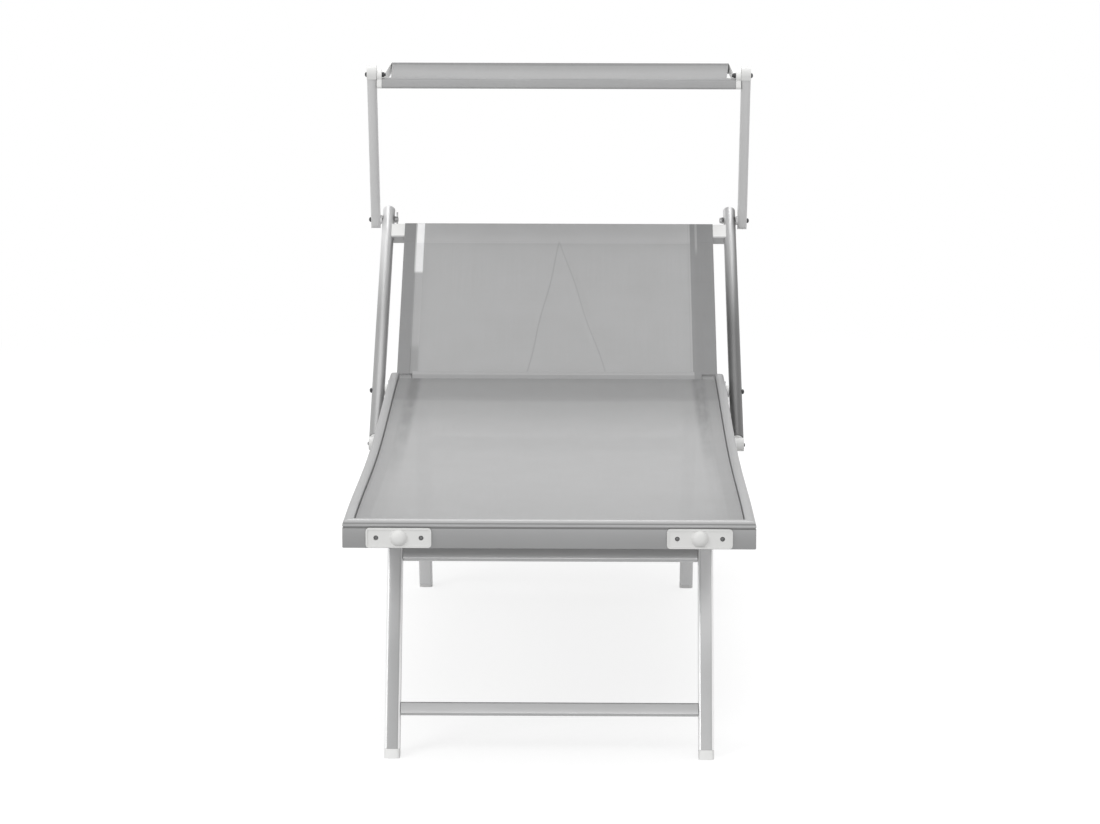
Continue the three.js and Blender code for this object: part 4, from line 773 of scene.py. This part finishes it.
def seat_point(x, y, out):
    """A point of the seat cloth's middle layer: it hangs in a hollow and its free hem waves a little."""
    along = clamped((y - FOOT_INNER_Y) / (REAR_BAR_Y - FOOT_INNER_Y))
    across = min(abs(x) / RAIL_INNER, 1.0)
    free = 1 - across * across
    hollow = CROSS_SAG * free * math.sin(math.pi * math.sqrt(along))
    near = max(0.0, 1 - (y - SEAT_FROM) / FRONT_WAVE_RUN)
    wave = FRONT_WAVE * near * free * (1 - math.cos(math.pi * FRONT_WAVES * x / HALF_BED))
    return Vector((x, y, SHEET_LEVEL + CLOTH - sag_at(y) - hollow + wave + out))


seat_path = straight((SEAT_FROM, 0.0), (REAR_BAR_Y, 0.0), SEAT_ROWS)
seat_cloth, _ = path_sheet("seat_cloth", seat_path, lambda along, out: SLOT_X, SEAT_COLS, "bed",
                           seat_point, (SEAT_MESH,))

SLEEVE_R = REAR_BAR_R + LIFT
SLEEVE_GAP = 0.0005
SLEEVE_COLS = 30
SLEEVE_TAIL = (0.004, 0.034)
SLEEVE_TAIL_RISE = 0.0045
sleeve_path = arc(REAR_BAR_Y, REAR_BAR_Z, SLEEVE_R, 90, -90, HALF_TURN_STEPS)
sleeve_path += straight((REAR_BAR_Y - SLEEVE_TAIL[0], REAR_BAR_Z - SLEEVE_R),
                        (REAR_BAR_Y - SLEEVE_TAIL[1], REAR_BAR_Z + SLEEVE_TAIL_RISE), HEM_STEPS)
seat_sleeve, _ = path_sheet("seat_sleeve", sleeve_path, lambda along, out: RAIL_INNER - SLEEVE_GAP,
                            SLEEVE_COLS, "bed", lambda x, along, out: Vector((x, along, out)), (HEM,))
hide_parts("seat_fabric")

# The backrest cloth: over the top bar, round the side tubes and round the pivot tube
BACK_EDGE = BACK_HALF + LIFT
FACE = BAR_D / 2 + LIFT
INSIDE = BACK_HALF - BAR_W
TOP_BAR_LOW, TOP_BAR_HIGH = TOP_BAR - BAR_W / 2, TOP_BAR + BAR_W / 2
FREE = TOP_BAR_LOW - TUBE_START
FLAP = 0.006
CORNER = 0.003 + CLOTH
TOP_ARC_INSET = 0.0027
TOP_FRONT_FROM, TOP_REAR_FROM, TOP_REAR_LAP = 0.004, 0.008, 0.002
BACK_ROWS, BACK_COLS = 61, 120
SIDE_COLUMNS = (-0.288, 0.265)
HEM_LAP = 0.003
BACK_HOLLOW = 0.004
CREASE_RISE, CREASE_WIDTH = 0.0010, 0.006
CREASE_RISE_FROM, CREASE_RISE_LENGTH = 0.05, 0.36
LOW_HALF = 0.2822
LOW_ROWS, LOW_COLS = 8, 40
LOW_HEM = 0.0095
LOW_FROM, LOW_BEND, LOW_TAIL, LOW_TAIL_RISE = 0.0005, 0.004, 0.040, 0.004
PIVOT_R = PIVOT_TUBE_R + LIFT
WRAP_ROWS = 40
WRAP_STEP = 0.006
WRAP_TAIL = (0.006, 0.030)
WRAP_TAIL_STEPS = 5


def back_bow(x, along, out):
    """The panel's shallow hollow between its tubes, with two faint creases that meet near the top."""
    if out < 0:
        return 0.0
    across = min(abs(x) / INSIDE, 1.0)
    hollow = (1 - across * across) * math.sin(math.pi * clamped((along - TUBE_START) / FREE))
    rise = 0.0
    for foot in CREASE_FEET:
        line = foot + (CREASE_TOP - foot) * clamped((along - TUBE_START) / CREASE_LENGTH)
        rise += math.exp(-(((x - line) / CREASE_WIDTH) ** 2))
    rise *= max(0.0, math.sin(math.pi * clamped((along - CREASE_RISE_FROM) / CREASE_RISE_LENGTH)))
    return CREASE_RISE * rise - BACK_HOLLOW * hollow


back_path = straight((TUBE_START - FLAP, FACE), (TOP_BAR_LOW, FACE), BACK_ROWS)
back_path += straight((TOP_BAR_LOW + TOP_FRONT_FROM, FACE), (TOP_BAR_HIGH - CORNER + CLOTH, FACE), HEM_STEPS)
back_path += arc(TOP_BAR_HIGH - TOP_ARC_INSET, FACE - CORNER, CORNER, 80, 0, QUARTER_TURN_STEPS)
back_path += arc(TOP_BAR_HIGH - TOP_ARC_INSET, -FACE + CORNER, CORNER, 0, -90, QUARTER_TURN_STEPS)
back_path += straight((TOP_BAR_HIGH - TOP_REAR_FROM, -FACE), (TOP_BAR_LOW - TOP_REAR_LAP, -FACE), HEM_STEPS)
back_cloth, back_length = path_sheet(
    "back_cloth", back_path, lambda along, out: BACK_EDGE, BACK_COLS, "backrest", on_back,
    (BACK_MESH, BACK_HEM, BACK_SIDE), BACK_SEAM - HEM_LAP, back_bow)
paint_columns(back_cloth, BACK_EDGE, BACK_COLS, *SIDE_COLUMNS, 2)

low_path = straight((TUBE_START + LOW_FROM, FACE), (LOW_BEND, PIVOT_R), LOW_ROWS)
low_path += arc(0, 0, PIVOT_R, 80, -90, HALF_TURN_STEPS)
low_path += straight((LOW_BEND, -PIVOT_R), (LOW_TAIL, -PIVOT_R + LOW_TAIL_RISE), HEM_STEPS)
back_low, _ = path_sheet("back_low_sleeve", low_path, lambda along, out: LOW_HALF, LOW_COLS, "backrest",
                         on_back, (MESH, BACK_FOOT, BACK_SIDE), LOW_HEM)
paint_columns(back_low, LOW_HALF, LOW_COLS, -math.inf, SIDE_COLUMNS[1], 2)


def side_wrap(side, sign):
    """The cloth's side hem: round a side tube's edge and a little way along its rear."""
    wrap = arc(BACK_EDGE - CORNER, FACE - CORNER, CORNER, 90, 0, QUARTER_TURN_STEPS)
    wrap += arc(BACK_EDGE - CORNER, -FACE + CORNER, CORNER, 0, -90, QUARTER_TURN_STEPS)
    wrap += straight((BACK_EDGE - WRAP_TAIL[0], -FACE), (BACK_EDGE - WRAP_TAIL[1], -FACE), WRAP_TAIL_STEPS)
    top = TOP_BAR_LOW - TOP_REAR_LAP
    verts, uvs = [], []
    for i in range(WRAP_ROWS + 1):
        along = TUBE_START + (top - TUBE_START) * i / WRAP_ROWS
        verts += [on_back(sign * x, along, out) for x, out in wrap]
        uvs += [(WRAP_STEP * j, along) for j in range(len(wrap))]
    faces = grid_faces(WRAP_ROWS, len(wrap) - 1)
    return make_object("back_side_hem_" + side, verts, faces, (BACK_SIDE,), "backrest", uvs)


wraps = [side_wrap(side, sign) for side, sign in SIDES]
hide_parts("back_fabric")

# Small screw heads on the outer faces of the arms' eyes: reach outwards from the face, and radius
SCREW_OUTLINE = ((0.0025, 0.0002), (0.0025, 0.0016), (0.0020, 0.0029), (0.0012, 0.0034), (-0.0001, 0.0034))
SCREW_STEPS = 24
EYE_ALONG = -0.144


def eye_screw(side, sign):
    """One screw head: its outline turned about an axis that points outwards."""
    outer = ends_of("arm_eye_" + side, X)[1 if sign > 0 else 0]
    verts, faces = [], []
    for reach, radius in SCREW_OUTLINE:
        for k in range(SCREW_STEPS):
            turn = 2 * math.pi * k / SCREW_STEPS
            verts.append(on_back(outer + sign * reach, EYE_ALONG + radius * math.cos(turn),
                                 radius * math.sin(turn)))
    for ring in range(len(SCREW_OUTLINE) - 1):
        for k in range(SCREW_STEPS):
            a, b = ring * SCREW_STEPS + k, ring * SCREW_STEPS + (k + 1) % SCREW_STEPS
            corners = (a, b, b + SCREW_STEPS, a + SCREW_STEPS)
            faces.append(corners if sign < 0 else (a, *reversed(corners[1:])))
    return make_object("eye_screw_" + side, verts, faces, (DARK_STEEL,), "backrest")


for side, sign in SIDES:
    eye_screw(side, sign)

# The canopy cloth, with a sleeve round each bar
SLEEVE_W, SLEEVE_H, SLEEVE_ROUND = (size + LIFT for size in CANOPY_BAR)
FLAT_W, FLAT_H = SLEEVE_W - SLEEVE_ROUND, SLEEVE_H - SLEEVE_ROUND
CLOTH_HALF = 0.353
CANOPY_ROWS, CANOPY_COLS = 52, 60
REAR_Y = CANOPY_DEPTH - CANOPY_END_INSET
TOP_SHEET_LOW = 0.008
CANOPY_TAIL = (0.006, 0.030)
CANOPY_TAIL_DROP = 0.0045
CANOPY_TOP_FROM = 0.003
TAPER_FROM, TAPER_DROP = 0.004, 0.0005
CANOPY_HOLLOW = 0.004
RIPPLE, RIPPLE_TURNS, RIPPLE_PHASE = 0.0006, 21.0, 0.6
RIPPLE_AT, RIPPLE_RUN = 0.02, 0.05


def on_canopy(x, along, out):
    """A point in the canopy's own frame."""
    return Vector((x, CANOPY_HINGE.y + along, CANOPY_HINGE.z - CANOPY_DROP + out))


def canopy_bow(x, along, out):
    """The top sheet's shallow hollow, with faint ripples behind the front bar."""
    if out < TOP_SHEET_LOW:
        return 0.0
    across = abs(x) / CLOTH_HALF
    hollow = (1 - across * across) * math.sin(math.pi * clamped(along / REAR_Y))
    fade = math.exp(-((along - RIPPLE_AT) / RIPPLE_RUN) ** 2)
    return RIPPLE * math.sin(x * RIPPLE_TURNS + RIPPLE_PHASE) * fade - CANOPY_HOLLOW * hollow


def canopy_half(along, out):
    """Half the cloth's width: its side edges draw in from the rear sleeve to the front one."""
    free = out > SLEEVE_H - TAPER_DROP and TAPER_FROM < along < REAR_Y
    return CLOTH_HALF - (CANOPY_TAPER * (1 - along / REAR_Y) if free else 0.0)


canopy_path = straight((CANOPY_TAIL[1], SLEEVE_H - CANOPY_TAIL_DROP),
                       (CANOPY_TAIL[0], -SLEEVE_H), TAIL_STEPS)
canopy_path += arc(-FLAT_W, -FLAT_H, SLEEVE_ROUND, -90, -180, BAR_CORNER_STEPS)
canopy_path += arc(-FLAT_W, FLAT_H, SLEEVE_ROUND, -180, -270, BAR_CORNER_STEPS)
canopy_path += straight((CANOPY_TOP_FROM, SLEEVE_H), (REAR_Y, SLEEVE_H), CANOPY_ROWS)
canopy_path += arc(REAR_Y + FLAT_W, FLAT_H, SLEEVE_ROUND, 90, 0, BAR_CORNER_STEPS)
canopy_path += arc(REAR_Y + FLAT_W, -FLAT_H, SLEEVE_ROUND, 0, -90, BAR_CORNER_STEPS)
canopy_path += straight((REAR_Y - CANOPY_TAIL[0], -SLEEVE_H),
                        (REAR_Y - CANOPY_TAIL[1], SLEEVE_H - CANOPY_TAIL_DROP), TAIL_STEPS)
canopy_cloth, canopy_length = path_sheet("canopy_cloth", canopy_path, canopy_half, CANOPY_COLS, "canopy",
                                         on_canopy, (CANOPY_MESH,), bow=canopy_bow)
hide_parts("canopy_fabric")

# The floor: a plain diffuse grey that takes the shadow, lifted to white for the camera, white far off
FLOOR_TONE = 0.40
FLOOR_LIFT = 0.715
FLOOR_REACH = 40
FLOOR_EDGE = (1.6, 3.6)
FAR_LIGHT = 0.75

floor_mat, floor_tree = new_material("studio_floor")
n = Nodes(floor_tree)
seen = n.seen()
plain = n.add("ShaderNodeBsdfDiffuse")
plain.inputs["Color"].default_value = grey(FLOOR_TONE)
lift = n.add("ShaderNodeEmission")
n.put(lift.inputs["Strength"], n.product(seen, FLOOR_LIFT))
both = n.add("ShaderNodeAddShader")
n.link(plain.outputs["BSDF"], both.inputs[0])
n.link(lift.outputs["Emission"], both.inputs[1])
white = n.add("ShaderNodeEmission")
n.put(white.inputs["Strength"], n.between(seen, 0.0, 1.0, FAR_LIGHT, 1.0))
distance = n.add("ShaderNodeVectorMath", operation="LENGTH")
n.link(n.add("ShaderNodeNewGeometry").outputs["Position"], distance.inputs[0])
far = n.between(distance.outputs["Value"], *FLOOR_EDGE)
n.surface(n.blend(far, both.outputs["Shader"], white.outputs["Emission"]))
floor_corners = [(x * FLOOR_REACH, y * FLOOR_REACH, 0) for x, y in ((-1, -1), (1, -1), (1, 1), (-1, 1))]
make_object("floor", floor_corners, [(0, 1, 2, 3)], (floor_mat,), smooth=False)

world = bpy.data.worlds.new("studio")
bpy.context.scene.world = world
world.use_nodes = True
world.node_tree.nodes.clear()
n = Nodes(world.node_tree)
sky = n.add("ShaderNodeBackground")
sky.inputs["Color"].default_value = grey(1.0)
n.put(sky.inputs["Strength"], n.between(n.seen(), 0.0, 1.0, FAR_LIGHT, 1.0))
n.link(sky.outputs["Background"], n.add("ShaderNodeOutputWorld").inputs["Surface"])


# Lamps: name, place, the point that they face, size and power
LAMPS = (
    ("overhead", (0.0, -0.2, 4.4), (0, -0.2, 0.4), (4.0, 5.0), 48),
    ("rear_strip", (0.0, 2.25, 4.2), (0, 1.2, 0.7), (2.6, 2.2), 38),
    ("key", (-3.0, -3.4, 2.6), (0, 0, 0.5), (1.8, 1.8), 42),
    ("front_low", (0.4, -6.4, 0.5), (0, 0, 0.25), (3.0, 0.9), 44),
)


def soft_light(name, place, aim, size, power):
    """A rectangular lamp that the camera doesn't see."""
    data = bpy.data.lights.new(name, "AREA")
    data.shape = "RECTANGLE"
    data.size, data.size_y = size
    data.energy = power
    lamp = bpy.data.objects.new(name, data)
    lamp.location = place
    lamp.rotation_mode = "QUATERNION"
    lamp.rotation_quaternion = (Vector(aim) - Vector(place)).to_track_quat("-Z", "Y")
    lamp.visible_camera = False
    bpy.context.collection.objects.link(lamp)


for lamp_values in LAMPS:
    soft_light(*lamp_values)

# The camera, fitted to the photograph
CAMERA_PLACE = Vector((0.058, -6.671543, 1.572))
PITCH = math.radians(10.0235)
YAW = math.radians(0.58)
ROLL = 0.002
FOCAL_PIXELS = 3670
PHOTO_WIDTH_PIXELS = 1100
SENSOR = 36.0
FAR_CLIP = 200

ahead = Vector((-math.sin(YAW) * math.cos(PITCH), math.cos(YAW) * math.cos(PITCH), -math.sin(PITCH)))
right = Vector((math.cos(YAW), math.sin(YAW), 0.0))
up = right.cross(ahead)
turned_right = right * math.cos(ROLL) + up * math.sin(ROLL)
turned_up = up * math.cos(ROLL) - right * math.sin(ROLL)
turn = Matrix((turned_right, turned_up, -ahead)).transposed()
camera_data = bpy.data.cameras.new("camera")
camera_data.sensor_width = SENSOR
camera_data.lens = SENSOR * FOCAL_PIXELS / PHOTO_WIDTH_PIXELS
camera_data.clip_end = FAR_CLIP
camera = bpy.data.objects.new("camera", camera_data)
camera.matrix_world = Matrix.Translation(CAMERA_PLACE) @ turn.to_4x4()
bpy.context.collection.objects.link(camera)

scene = bpy.context.scene
scene.camera = camera
scene.view_settings.view_transform = "Standard"
